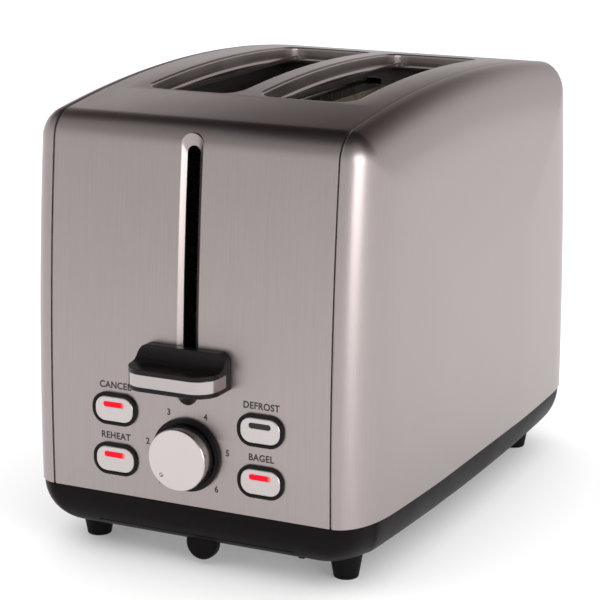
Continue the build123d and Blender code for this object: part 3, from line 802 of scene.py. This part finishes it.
@dataclass(frozen=True)
class ShellOutline:
    """The steel shell seen from the side: bowed faces, round corners and an arched top.

    Attributes:
        front: Y of the front face at its furthest.
        rear: Y of the rear face at its furthest.
        low: Z of the lower edge.
        crest: Z of the highest line of the top.
        bow_radius: Radius of the front and rear faces.
        bow_level: Height where those faces are upright.
        arch_radius: Radius of the top.
        corner_radius: Radius between a face and the top.
        bow_steps: Segments up each face.
        corner_steps: Segments of each corner.
        arch_steps: Segments along the top.
    """

    front: float
    rear: float
    low: float
    crest: float
    bow_radius: float = 1.15
    bow_level: float = 0.045
    arch_radius: float = 0.7
    corner_radius: float = 0.0125
    bow_steps: int = 40
    corner_steps: int = 24
    arch_steps: int = 60

    @property
    def middle(self) -> float:
        """Y of the middle of the body."""
        return (self.front + self.rear) / 2

    @property
    def half_length(self) -> float:
        """Half the body's length."""
        return (self.rear - self.front) / 2

    def top_at(self, y: float) -> float:
        """Height of the top at a row."""
        run = y - self.middle
        return self.crest - self.arch_radius + math.sqrt(self.arch_radius**2 - run**2)

    def face_at(self, z: float) -> float:
        """Y of the front face at a height."""
        rise = z - self.bow_level
        return self.front + self.bow_radius - math.sqrt(self.bow_radius**2 - rise**2)

    def arcs(self, inset: float) -> list[tuple[tuple[float, float], float, float, float, int]]:
        """The outline's five arcs, moved inwards.

        Args:
            inset: Distance inwards.

        Returns:
            Centre, radius, first and last angle and segments of each arc, from the front's foot on.
        """
        face = self.bow_radius - inset
        top = self.arch_radius - inset
        corner = max(self.corner_radius - inset, self.corner_radius / 3)
        face_mid = (self.bow_radius - self.half_length, self.bow_level)
        top_mid = (0.0, self.crest - self.arch_radius)
        span = math.dist(face_mid, top_mid)
        run = ((top - corner) ** 2 - (face - corner) ** 2 + span**2) / (2 * span)
        rise = math.sqrt((top - corner) ** 2 - run**2)
        uy = (face_mid[0] - top_mid[0]) / span
        uz = (face_mid[1] - top_mid[1]) / span
        mid = (top_mid[0] + run * uy - rise * uz, top_mid[1] + run * uz + rise * uy)
        foot = math.pi - math.asin((self.low - face_mid[1]) / face)
        first = math.atan2(mid[1] - face_mid[1], mid[0] - face_mid[0])
        second = math.atan2(mid[1] - top_mid[1], mid[0] - top_mid[0])
        return [
            (face_mid, face, foot, first, self.bow_steps),
            (mid, corner, first, second, self.corner_steps),
            (top_mid, top, second, math.pi - second, self.arch_steps),
            ((-mid[0], mid[1]), corner, math.pi - second, math.pi - first, self.corner_steps),
            ((-face_mid[0], face_mid[1]), face, math.pi - first, math.pi - foot, self.bow_steps),
        ]

    def profile(self, bm: bmesh.types.BMesh, x: float, inset: float) -> list:
        """Spins the outline as a row of edges on the upright plane at x.

        Args:
            bm: The mesh to add to.
            x: Place of the plane.
            inset: Distance inwards.

        Returns:
            The new edges, in order.
        """
        known = len(bm.verts)
        arcs = self.arcs(inset)
        centre, radius, start = arcs[0][:3]
        tip = bm.verts.new(
            (
                x,
                self.middle + centre[0] + radius * math.cos(start),
                centre[1] + radius * math.sin(start),
            )
        )
        for centre, _, start, end, steps in arcs:
            made = bmesh.ops.spin(
                bm,
                geom=[tip],
                cent=(x, self.middle + centre[0], centre[1]),
                axis=(1.0, 0.0, 0.0),
                angle=end - start,
                steps=steps,
                use_duplicate=False,
            )
            tip = next(g for g in made["geom_last"] if isinstance(g, bmesh.types.BMVert))
        return loop_edges(bm, newest(bm.verts, known))


# --- The toaster's sub-assemblies ----------------------------------------------


@dataclass
class Finishes:
    """Every material that more than one sub-assembly uses."""

    steel: bpy.types.Material
    panel_steel: bpy.types.Material
    chrome: bpy.types.Material
    base_plastic: bpy.types.Material
    gloss_black: bpy.types.Material
    silver: bpy.types.Material
    ink: bpy.types.Material
    rubber: bpy.types.Material
    wire: bpy.types.Material
    chassis: bpy.types.Material

    @classmethod
    def mixed(cls) -> "Finishes":
        """Builds them all."""
        return cls(
            steel=BrushedSteel("satin_steel_upright", Grain.UPRIGHT).build(),
            panel_steel=BrushedSteel("satin_steel_side", Grain.SIDE_UPRIGHT).build(),
            chrome=PolishedMetal("chrome_plate").build(),
            base_plastic=MouldedPlastic(
                "base_plastic", rgb(0.0042, 0.0026, 0.0032), 0.42, 1400.0, 8e-6, 0.0006, 0.07
            ).build(),
            gloss_black=MouldedPlastic(
                "gloss_black", rgb(0.0035, 0.0026, 0.0028), 0.26, 2200.0, 2e-6, 0.0004, 0.14
            ).build(),
            silver=SilverCoat("silver_cap_paint", edge=0.0003).build(),
            ink=PrintedInk("label_ink").build(),
            rubber=MouldedPlastic(
                "foot_rubber", rgb(0.0035, 0.0028, 0.003), 0.6, 900.0, 1.2e-5, 0.0005, 0.1
            ).build(),
            wire=PolishedMetal("plated_wire", rgb(0.26, 0.245, 0.24), 0.3).build(),
            # Dark grey sheet: the aluminised steel's own grey, darkened as painted shade for the inside of the
            # chamber.
            chassis=BrushedSteel(
                "aluminised_sheet_shade_darkened", Grain.ALONG_FRONT, rgb(0.2, 0.195, 0.19), 0.5, 2e-6
            ).build(),
        )


@dataclass
class SteelBand:
    """The steel sheet that wraps the front, the top and the rear, with all its pressed openings."""

    outline: ShellOutline
    finishes: Finishes
    sheet: float = 0.0008
    edge_round: float = 0.0008
    slot_size: tuple[float, float] = (0.0422, 0.136)
    slot_corner: float = 0.008
    slot_pitch: float = 0.05155
    slot_rim: float = 0.0011
    neck_depth: float = 0.006
    neck_share: float = 0.9
    rim_steps: int = 6
    lip_steps: int = 8
    lip_inset: float = 0.0009
    lip_drop: float = 0.0058
    lip_roll: float = 0.0014
    lever_half: float = 0.0046
    lever_low: float = 0.071
    lever_high: float = 0.1775
    press_rim: float = 0.0004
    press_depth: float = 0.0016
    press_cuts: int = 60
    gap_half: float = 0.00285
    gap_low: float = 0.07275
    gap_high: float = 0.1729
    knob_level: float = 0.0505
    knob_hole: float = 0.0055
    button_hole: tuple[float, float, float] = (0.0097, 0.0062, 0.0053)

    def build(self) -> bpy.types.Object:
        """Builds the band with its necks and the pressed step of the lever slot."""
        body = self._cut(self._wrap())
        bm = bmesh.new()
        bm.from_mesh(body)
        for side in (-1, 1):
            self._neck(bm, side * self.slot_pitch / 2)
            self._inner_lip(bm, side * self.slot_pitch / 2)
        self._press(bm)
        soften(bm)
        mesh = bpy.data.meshes.new("centre_band_skin")
        bm.to_mesh(mesh)
        bm.free()
        return publish(
            "centre_band_skin",
            mesh,
            NODE_BODY["centre_band"],
            [self.finishes.steel],
            ("centre_band",),
        )

    def _wrap(self) -> bpy.types.Mesh:
        """The closed sheet, with rounded side edges and without openings."""
        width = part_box("centre_band")[1].x
        turn = self.edge_round * (1 - math.sqrt(0.5))
        outer = [
            (width, self.sheet),
            (width, self.edge_round),
            (width - turn, turn),
            (width - self.edge_round, 0.0),
        ]
        rows = [(-x, inset) for x, inset in outer] + outer[::-1]
        bm = bmesh.new()
        profiles = [self.outline.profile(bm, x, inset) for x, inset in rows]
        bridge_rows(bm, profiles, closed=True)
        ends = [edge for edge in bm.edges if len(edge.link_faces) == 1]
        bmesh.ops.holes_fill(bm, edges=ends, sides=0)
        return to_mesh(bm, "band_wrap")

    def _cut(self, wrap: bpy.types.Mesh) -> bpy.types.Mesh:
        """Cuts the openings out of the sheet.

        Args:
            wrap: The closed sheet.

        Returns:
            The mesh with its openings.
        """
        bm = bmesh.new()
        middle = self.outline.middle
        crest = self.outline.crest
        half = [part / 2 + self.slot_rim for part in self.slot_size]
        for side in (-1, 1):
            place = (side * self.slot_pitch / 2, middle, crest)
            self._punch(bm, half, self.slot_corner + self.slot_rim, Matrix.Translation(place), 0.03)
        face = Matrix.Rotation(math.pi / 2, 4, "X")
        centre_level = (self.lever_low + self.lever_high) / 2
        reach = (self.lever_high - self.lever_low) / 2 + self.press_rim
        front = self.outline.front
        bar = (self.lever_half + self.press_rim, reach)
        at_bar = Matrix.Translation((0.0, front, centre_level)) @ face
        self._punch(bm, bar, bar[0], at_bar, 0.02)
        at_knob = Matrix.Translation((0.0, front, self.knob_level)) @ face
        self._punch(bm, (self.knob_hole, self.knob_hole), self.knob_hole, at_knob, 0.02)
        for name in PushButtons.NAMES:
            low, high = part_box(f"button_cap_{name}")
            centre = (low + high) / 2
            at_button = Matrix.Translation((centre.x, front, centre.z)) @ face
            self._punch(bm, self.button_hole[:2], self.button_hole[2], at_button, 0.02)
        cutter = bpy.data.objects.new("band_cutter", to_mesh(bm, "band_cutter"))
        target = bpy.data.objects.new("band_target", wrap)
        for helper in (cutter, target):
            bpy.context.scene.collection.objects.link(helper)
        cut = target.modifiers.new("openings", "BOOLEAN")
        cut.operation = "DIFFERENCE"
        cut.solver = "EXACT"
        cut.object = cutter
        graph = bpy.context.evaluated_depsgraph_get()
        done = bpy.data.meshes.new_from_object(target.evaluated_get(graph))
        for helper in (cutter, target):
            bpy.data.objects.remove(helper)
        return done

    @staticmethod
    def _punch(
        bm: bmesh.types.BMesh, half: tuple, corner: float, place: Matrix, reach: float
    ) -> None:
        """Adds a closed rounded prism to cut with.

        Args:
            bm: The cutter's mesh.
            half: Half its width and height.
            corner: Radius of its corners.
            place: Where its middle goes, with its axis along local Z.
            reach: Half its length.
        """
        verts = rounded_loop(bm, half, corner, 16, 0)
        lid = bmesh.ops.contextual_create(bm, geom=loop_edges(bm, verts))["faces"]
        made = bmesh.ops.extrude_face_region(bm, geom=lid)["geom"]
        top = [part for part in made if isinstance(part, bmesh.types.BMVert)]
        bmesh.ops.translate(bm, verts=verts, vec=(0.0, 0.0, -reach))
        bmesh.ops.translate(bm, verts=top, vec=(0.0, 0.0, reach))
        bmesh.ops.transform(bm, matrix=place, verts=verts + top)

    def _along_slot(self, bm: bmesh.types.BMesh, x: float, path: list[tuple[float, float]]) -> None:
        """Adds a closed ring round one bread slot that follows the arch of the top.

        Args:
            bm: The band's mesh.
            x: Middle of the slot.
            path: The ring's section, as distances outwards from the slot and down from the top.
        """
        rows = []
        for grow, drop in path:
            half = (self.slot_size[0] / 2 + grow, self.slot_size[1] / 2 + grow)
            verts = rounded_loop(bm, half, self.slot_corner + grow, LOOP_STEPS, LOOP_CUTS)
            for vert in verts:
                vert.co.x += x
                vert.co.y += self.outline.middle
                vert.co.z = self.outline.top_at(vert.co.y) - drop
            rows.append(loop_edges(bm, verts))
        self._ring(bm, rows)

    def _neck(self, bm: bmesh.types.BMesh, x: float) -> None:
        """Adds the rolled rim and the neck of one bread slot.

        Args:
            bm: The band's mesh.
            x: Middle of the slot.
        """
        rim = self.slot_rim
        back = self.sheet * self.neck_share
        arc = [math.pi / 2 * step / self.rim_steps for step in range(self.rim_steps + 1)]
        path = [(rim * (1 - math.sin(turn)), rim * (1 - math.cos(turn))) for turn in arc]
        path += [(0.0, self.neck_depth), (back, self.neck_depth)]
        path += [(back, rim + self.sheet), (rim, self.sheet)]
        self._along_slot(bm, x, path)

    def _inner_lip(self, bm: bmesh.types.BMesh, x: float) -> None:
        """Adds the rolled edge at the foot of one slot's neck.

        Args:
            bm: The band's mesh.
            x: Middle of the slot.
        """
        roll = self.lip_roll
        arc = [FULL_TURN * step / self.lip_steps for step in range(self.lip_steps)]
        path = [
            (roll * math.cos(turn) - self.lip_inset, self.lip_drop + roll * math.sin(turn))
            for turn in arc
        ]
        self._along_slot(bm, x, path)

    def _press(self, bm: bmesh.types.BMesh) -> None:
        """Adds the pressed step round the lever slot.

        Args:
            bm: The band's mesh.
        """
        low, high = self.lever_low, self.lever_high
        rim, depth = self.press_rim, self.press_depth
        path = [
            (self.lever_half + rim, low - rim, high + rim, 0.0),
            (self.lever_half + rim * 0.3, low - rim * 0.3, high + rim * 0.3, rim * 0.3),
            (self.lever_half - rim * 0.2, low + rim * 0.2, high - rim * 0.5, rim),
            (self.gap_half + rim * 0.5, self.gap_low - rim * 0.5, self.gap_high + rim, depth),
            (self.gap_half + rim * 0.1, self.gap_low, self.gap_high + rim * 0.2, depth + rim * 0.4),
            (self.gap_half, self.gap_low, self.gap_high, depth + rim),
            (self.gap_half, self.gap_low, self.gap_high, depth + self.sheet * 1.2),
            (self.lever_half + rim, low - rim, high + rim, depth + self.sheet * 1.2),
        ]
        rows = []
        for half, bottom, top, behind in path:
            size = (half, (top - bottom) / 2)
            verts = rounded_loop(bm, size, half, LOOP_STEPS, self.press_cuts)
            for vert in verts:
                z = vert.co.y + (top + bottom) / 2
                vert.co = Vector((vert.co.x, self.outline.face_at(z) + behind, z))
            rows.append(loop_edges(bm, verts))
        self._ring(bm, rows)

    @staticmethod
    def _ring(bm: bmesh.types.BMesh, rows: list[list]) -> None:
        """Bridges rows into a closed ring and turns its faces outwards.

        Args:
            bm: The band's mesh.
            rows: The edges of each row.
        """
        known = len(bm.faces)
        bridge_rows(bm, rows, closed=True)
        bmesh.ops.recalc_face_normals(bm, faces=newest(bm.faces, known))


@dataclass
class SidePanels:
    """The two crowned steel side panels."""

    outline: ShellOutline
    finishes: Finishes
    sheet: float = 0.0007
    flange: float = 0.006
    flange_inset: float = 0.001
    edge_round: float = 0.0006
    seam: float = 0.0005
    roll_width: float = 0.0126
    roll_reach: float = 0.032
    roll_power: float = 2.9
    crown: float = 0.003354
    crown_inset: float = 0.078
    crown_power: float = 1.5
    roll_rows: int = 22
    crown_rows: int = 14

    def build(self) -> list[bpy.types.Object]:
        """Builds both panels."""
        return [self._panel("left", -1), self._panel("right", 1)]

    def _stand(self, inset: float) -> float:
        """How far the panel stands out from the seam at an inset."""
        share = max(1 - inset / self.roll_reach, 0.0)
        rest = 1 - min(inset / self.crown_inset, 1.0)
        roll = self.roll_width * math.sqrt(1 - share**self.roll_power)
        return roll + self.crown * (1 - rest**self.crown_power)

    def _rows(self, start: float) -> list[tuple[float, float]]:
        """Place and inset of each profile, from the hidden flange to the flat middle.

        Args:
            start: Distance of the panel's edge from the middle plane.

        Returns:
            Pairs of X and inset.
        """
        turn = self.edge_round * (1 - math.sqrt(0.5))
        rows = [
            (start - self.flange, self.flange_inset),
            (start, self.flange_inset),
            (start, self.edge_round),
            (start + turn, turn),
            (start + self.edge_round, 0.0),
        ]
        for step in range(1, self.roll_rows + 1):
            inset = self.roll_reach * (step / self.roll_rows) ** 2
            rows.append((start + self._stand(inset), inset))
        for step in range(1, self.crown_rows + 1):
            span = self.crown_inset - self.roll_reach
            inset = self.roll_reach + span * step / self.crown_rows
            rows.append((start + self._stand(inset), inset))
        return rows

    def _panel(self, side: str, sign: int) -> bpy.types.Object:
        """Builds one panel.

        Args:
            side: Name of the side.
            sign: Its sign along X.

        Returns:
            The panel.
        """
        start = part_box("centre_band")[1].x + self.seam
        bm = bmesh.new()
        rows = [self.outline.profile(bm, sign * x, inset) for x, inset in self._rows(start)]
        bridge_rows(bm, rows, closed=False)
        bmesh.ops.contextual_create(bm, geom=rows[-1])
        mesh = to_mesh(bm, f"side_panel_{side}_skin")
        panel = publish(
            f"side_panel_{side}_skin",
            mesh,
            NODE_BODY[f"side_panel_{side}"],
            [self.finishes.panel_steel],
            (f"side_panel_{side}",),
        )
        wall = panel.modifiers.new("wall", "SOLIDIFY")
        wall.thickness = self.sheet
        wall.offset = -1.0
        return panel


@dataclass
class PlasticBase:
    """The moulded base with its feet, grip, crumb tray and cord bush."""

    finishes: Finishes

    def build(self) -> None:
        """Dresses the base's pieces."""
        black = self.finishes.base_plastic
        rubber = self.finishes.rubber
        merged_copy("base_tray", [black])
        for node in sorted(n for n in frame["nodes"] if n.startswith("foot_")):
            merged_copy(node, [rubber])
        merged_copy("tray_grip", [black])
        merged_copy("cord_bush", [rubber])
        tray = BrushedSteel("tray_sheet", Grain.ALONG_FRONT, rgb(0.4, 0.4, 0.4), 0.38, 4e-6)
        dress("crumb_tray", tray.build())
        dress("base_screws", PolishedMetal("zinc_screw", rgb(0.5, 0.5, 0.48), 0.25).build())


def dress(node: str, finish: bpy.types.Material) -> None:
    """Gives a CAD node that stays its finish.

    Args:
        node: The CAD node.
        finish: Its material.
    """
    piece = frame["nodes"][node]
    piece.data.materials.clear()
    piece.data.materials.append(finish)
    LOG.info("%s: dressed in %s", node, finish.name)


@dataclass
class CarriageLever:
    """The lever handle with its bright band."""

    finishes: Finishes

    def build(self) -> None:
        """Dresses the handle and its trim."""
        black = MouldedPlastic(
            "lever_plastic", rgb(0.0035, 0.0026, 0.0027), 0.28, 2000.0, 2e-6, 0.0007, 0.2
        )
        merged_copy("lever_handle", [black.build()])
        bright = PolishedMetal("trim_chrome", rgb(0.42, 0.39, 0.385), 0.14, 0.0003)
        merged_copy("lever_trim", [bright.build()])


@dataclass
class BrowningKnob:
    """The knob, its ring and the printed numbers round it."""

    outline: ShellOutline
    finishes: Finishes
    numbers: tuple[str, ...] = ("1", "2", "3", "4", "5", "6")
    number_radius: float = 0.0182
    first_turn: float = -135.0
    turn_step: float = 54.0
    number_height: float = 0.0026

    def build(self) -> None:
        """Dresses the knob and prints its numbers."""
        low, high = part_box("knob")
        centre = (low + high) / 2
        spun = SpunMetal("knob_face", tuple(centre)).build()
        side = PolishedMetal("knob_side", rgb(0.5, 0.47, 0.46), 0.16, 0.0003).build()
        knob = merged_copy("knob", [side, spun])
        for face in knob.data.polygons:
            if face.normal.y < -0.9:
                face.material_index = 1
        merged_copy("knob_ring", [self.finishes.gloss_black])
        for index, number in enumerate(self.numbers):
            turn = math.radians(self.first_turn + index * self.turn_step)
            x = centre.x + self.number_radius * math.sin(turn)
            z = centre.z + self.number_radius * math.cos(turn)
            Label(self.outline, self.finishes.ink, number, x, z, self.number_height).build(
                f"dial_number_{number}"
            )


@dataclass
class Label:
    """A printed word or number on the front face."""

    outline: ShellOutline
    ink: bpy.types.Material
    text: str
    x: float
    z: float
    height: float
    squeeze: float = 0.94
    weight: float = 0.03
    thickness: float = 0.00003
    cap_share: float = 0.73

    def build(self, name: str) -> bpy.types.Object:
        """Sets the text and lays it on the steel.

        Args:
            name: Name of the piece.

        Returns:
            The label.
        """
        curve = bpy.data.curves.new(name, "FONT")
        curve.body = self.text
        curve.align_x = "CENTER"
        curve.align_y = "CENTER"
        curve.size = self.height / self.cap_share
        curve.space_character = 1.07
        curve.offset = self.weight * curve.size
        curve.extrude = self.thickness / 2
        helper = bpy.data.objects.new(f"{name}_type", curve)
        bpy.context.scene.collection.objects.link(helper)
        graph = bpy.context.evaluated_depsgraph_get()
        mesh = bpy.data.meshes.new_from_object(helper.evaluated_get(graph))
        bpy.data.objects.remove(helper)
        mesh.transform(Matrix.Diagonal((self.squeeze, 1.0, 1.0, 1.0)))
        mesh.transform(Matrix.Rotation(math.pi / 2, 4, "X"))
        for vert in mesh.vertices:
            z = vert.co.z + self.z
            x = vert.co.x + self.x
            vert.co = Vector((x, self.outline.face_at(z) + vert.co.y, z))
        mesh.update()
        return publish(name, mesh, NODE_BODY["centre_band"], [self.ink])


@dataclass
class PushButtons:
    """The four push buttons with their bezels, light windows and printed words."""

    outline: ShellOutline
    finishes: Finishes
    word_gap: float = 0.0029
    word_height: float = 0.0028

    NAMES = ("cancel", "defrost", "reheat", "bagel")
    LIT = ("cancel", "reheat", "bagel")

    def build(self) -> None:
        """Dresses each button."""
        dark = MouldedPlastic("dark_window", rgb(0.01, 0.008, 0.008), 0.12, 1500.0, 1e-6).build()
        for name in self.NAMES:
            merged_copy(f"button_bezel_{name}", [self.finishes.gloss_black])
            merged_copy(f"button_cap_{name}", [self.finishes.silver])
            low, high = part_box(f"button_lens_{name}")
            centre = (low + high) / 2
            lens = dark
            if name in self.LIT:
                lens = LitLens(f"lit_window_{name}", tuple(centre), (high.x - low.x) / 2).build()
            slot = "lens_red" if name in self.LIT else "lens_dark"
            merged_copy(f"button_lens_{name}", [lens])
            bezel_low, bezel_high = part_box(f"button_bezel_{name}")
            Label(
                self.outline,
                self.finishes.ink,
                name.upper(),
                (bezel_low.x + bezel_high.x) / 2,
                bezel_high.z + self.word_gap,
                self.word_height,
            ).build(f"word_{name}")


@dataclass
class HeatingChamber:
    """Everything inside the shell: chassis, heaters, guards, carriage, magnet and controls."""

    finishes: Finishes

    def build(self) -> None:
        """Dresses the inner pieces."""
        # The chassis colour carries painted shade for the inside of the chamber.
        steel = self.finishes.chassis
        wire = self.finishes.wire
        black = self.finishes.gloss_black
        mica = MicaSheet("mica_sheet_shade_darkened").build()
        ribbon = HeatedRibbon("heated_ribbon").build()
        glass = MouldedPlastic("lamp_epoxy", rgb(0.6, 0.08, 0.08), 0.1, 800.0, 1e-6).build()
        relay = MouldedPlastic("relay_case", rgb(0.02, 0.03, 0.06), 0.3, 1500.0, 4e-6).build()
        groups = {
            steel: ("chassis_front", "chassis_rear", "reflector_left", "reflector_right"),
            mica: ("heater_card_left", "heater_card_centre", "heater_card_right"),
            ribbon: ("heater_winding_left", "heater_winding_centre", "heater_winding_right"),
            relay: ("relay",),
            black: ("potentiometer", "knob_shaft", "button_switches"),
            glass: ("indicator_lamps",),
            CircuitBoard("circuit_board").build(): ("control_board",),
            CopperCoil("copper_coil").build(): ("magnet_coil",),
            wire: ("armature", "magnet_core"),
        }
        for finish, nodes in groups.items():
            for node in nodes:
                dress(node, finish)
        dress("slot_plate", self.finishes.steel)
        dress("carriage_plate", steel)
        for node in ("bread_rack_left", "bread_rack_right"):
            dress(node, steel)
        for node in sorted(n for n in frame["nodes"] if n.startswith("bread_guard_")):
            merged_copy(node, [wire])
        merged_copy("guide_rod", [self.finishes.chrome])
        self._spring()

    def _spring(self) -> None:
        """A copy of the lift spring, riding on the guide rod's body."""
        low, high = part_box("lift_spring")
        dark = PolishedMetal("phosphated_wire", rgb(0.03, 0.028, 0.027), 0.45).build()
        spring = merged_copy("lift_spring", [dark])
        slide = next(j for j in frame["joints"] if j["name"] == "lever_slide")
        length = high.z - low.z
        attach(spring, NODE_BODY["guide_rod"])
        1 - slide["range_m"][1] / length
        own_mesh(spring)


# --- Studio --------------------------------------------------------------------


@dataclass
class Studio:
    """Floor, light and camera.

    Attributes:
        floor_reach: Half the floor's width.
        front_sky: Height, as the sine of the elevation, and tone of the surroundings in front.
        rear_sky: The same behind.
        rear_from: Where the front's tones give way to the rear's, along Y.
        aim: The point that the lights face.
        camera_place: Position of the camera.
        azimuth: Its turn round the toaster, in degrees.
        elevation: Its height angle, in degrees.
        lens: Its focal length in millimetres.
        sensor: Width of its sensor in millimetres.
    """

    floor_reach: float = 12.0
    front_sky: tuple = (
        (0.0, (0.95, 0.95, 0.95)),
        (0.33, (0.9, 0.9, 0.9)),
        (0.4, (0.62, 0.61, 0.61)),
        (0.82, (0.4, 0.39, 0.39)),
        (0.93, (0.05, 0.045, 0.045)),
    )
    rear_sky: tuple = (
        (0.0, (1.0, 0.99, 0.98)),
        (0.22, (0.97, 0.93, 0.93)),
        (0.42, (0.27, 0.22, 0.22)),
        (0.62, (0.06, 0.045, 0.045)),
        (0.8, (0.02, 0.015, 0.015)),
    )
    rear_from: tuple[float, float] = (-0.05, 0.1)
    aim: tuple[float, float, float] = (0.0, 0.0, 0.08)
    camera_place: tuple[float, float, float] = (0.40316, -0.82904, 0.32261)
    azimuth: float = 26.21
    elevation: float = 14.27
    lens: float = 130.94
    sensor: float = 36.0

    def build(self) -> None:
        """Sets up the studio."""
        self._floor()
        self._sky()
        self._lights()
        self._camera()

    def _floor(self) -> None:
        """A wide plain floor."""
        bm = bmesh.new()
        bmesh.ops.create_grid(bm, x_segments=8, y_segments=8, size=self.floor_reach)
        mesh = to_mesh(bm, "studio_floor")
        floor = bpy.data.objects.new("studio_floor", mesh)
        bpy.context.scene.collection.objects.link(floor)
        floor.data.materials.append(StudioSweep().build())

    def _sky(self) -> None:
        """Pale surroundings, dark above and behind, with a grey ceiling in front."""
        world = bpy.data.worlds.new("studio_room")
        bpy.context.scene.world = world
        world.use_nodes = True
        tree = world.node_tree
        tree.nodes.clear()
        place = tree.nodes.new("ShaderNodeTexCoord")
        split = tree.nodes.new("ShaderNodeSeparateXYZ")
        rear = tree.nodes.new("ShaderNodeMapRange")
        mix = tree.nodes.new("ShaderNodeMix")
        glow = tree.nodes.new("ShaderNodeBackground")
        out = tree.nodes.new("ShaderNodeOutputWorld")
        mix.data_type = "RGBA"
        rear.inputs["From Min"].default_value = self.rear_from[0]
        rear.inputs["From Max"].default_value = self.rear_from[1]
        tree.links.new(place.outputs["Generated"], split.inputs[0])
        tree.links.new(split.outputs["Y"], rear.inputs["Value"])
        tree.links.new(rear.outputs["Result"], mix.inputs[0])
        for levels, socket in ((self.front_sky, 6), (self.rear_sky, 7)):
            ramp = tree.nodes.new("ShaderNodeValToRGB")
            Graph.set_stops(ramp.color_ramp, [(height, rgb(*tone)) for height, tone in levels])
            tree.links.new(split.outputs["Z"], ramp.inputs["Fac"])
            tree.links.new(ramp.outputs["Color"], mix.inputs[socket])
        tree.links.new(mix.outputs[2], glow.inputs["Color"])
        tree.links.new(glow.outputs["Background"], out.inputs["Surface"])

    def _softbox(
        self, name: str, place: tuple, size: tuple, power: float, glossy: bool
    ) -> None:
        """Adds one area light.

        Args:
            name: Its name.
            place: Its position.
            size: Its width and height.
            power: Its power in watts.
            glossy: Whether metal mirrors it.
        """
        data = bpy.data.lights.new(name, "AREA")
        data.shape = "RECTANGLE"
        data.size = size[0]
        data.size_y = size[1]
        data.energy = power
        lamp = bpy.data.objects.new(name, data)
        bpy.context.scene.collection.objects.link(lamp)
        lamp.location = place
        facing = Vector(self.aim) - Vector(place)
        lamp.rotation_euler = facing.to_track_quat("-Z", "Y").to_euler()
        lamp.visible_glossy = glossy

    def _lights(self) -> None:
        """Soft light from above for the floor, and strips that the steel mirrors."""
        self._softbox("overhead", (0.0, 0.3, 3.0), (9.0, 9.0), 400.0, False)
        self._softbox("right_strip", (1.5, -0.75, 0.3), (0.9, 1.2), 16.0, True)

    def _camera(self) -> None:
        """The main camera."""
        turn = math.radians(self.azimuth)
        tilt = math.radians(self.elevation)
        back = Vector(
            (
                math.sin(turn) * math.cos(tilt),
                -math.cos(turn) * math.cos(tilt),
                math.sin(tilt),
            )
        )
        data = bpy.data.cameras.new("main_view")
        data.lens = self.lens
        data.sensor_width = self.sensor
        camera = bpy.data.objects.new("main_view", data)
        bpy.context.scene.collection.objects.link(camera)
        camera.location = self.camera_place
        camera.rotation_euler = (-back).to_track_quat("-Z", "Y").to_euler()
        bpy.context.scene.camera = camera
        bpy.context.scene.view_settings.view_transform = "Standard"


def main() -> None:
    """Builds the looks of the toaster, sub-assembly by sub-assembly."""
    logging.basicConfig(level=logging.INFO, format="%(name)s: %(message)s")
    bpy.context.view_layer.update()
    low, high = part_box("centre_band")
    outline = ShellOutline(front=low.y, rear=high.y, low=low.z, crest=high.z)
    finishes = Finishes.mixed()
    SteelBand(outline, finishes).build()
    SidePanels(outline, finishes).build()
    PlasticBase(finishes).build()
    CarriageLever(finishes).build()
    BrowningKnob(outline, finishes).build()
    PushButtons(outline, finishes).build()
    HeatingChamber(finishes).build()
    Studio().build()


if __name__ == "__main__":
    main()
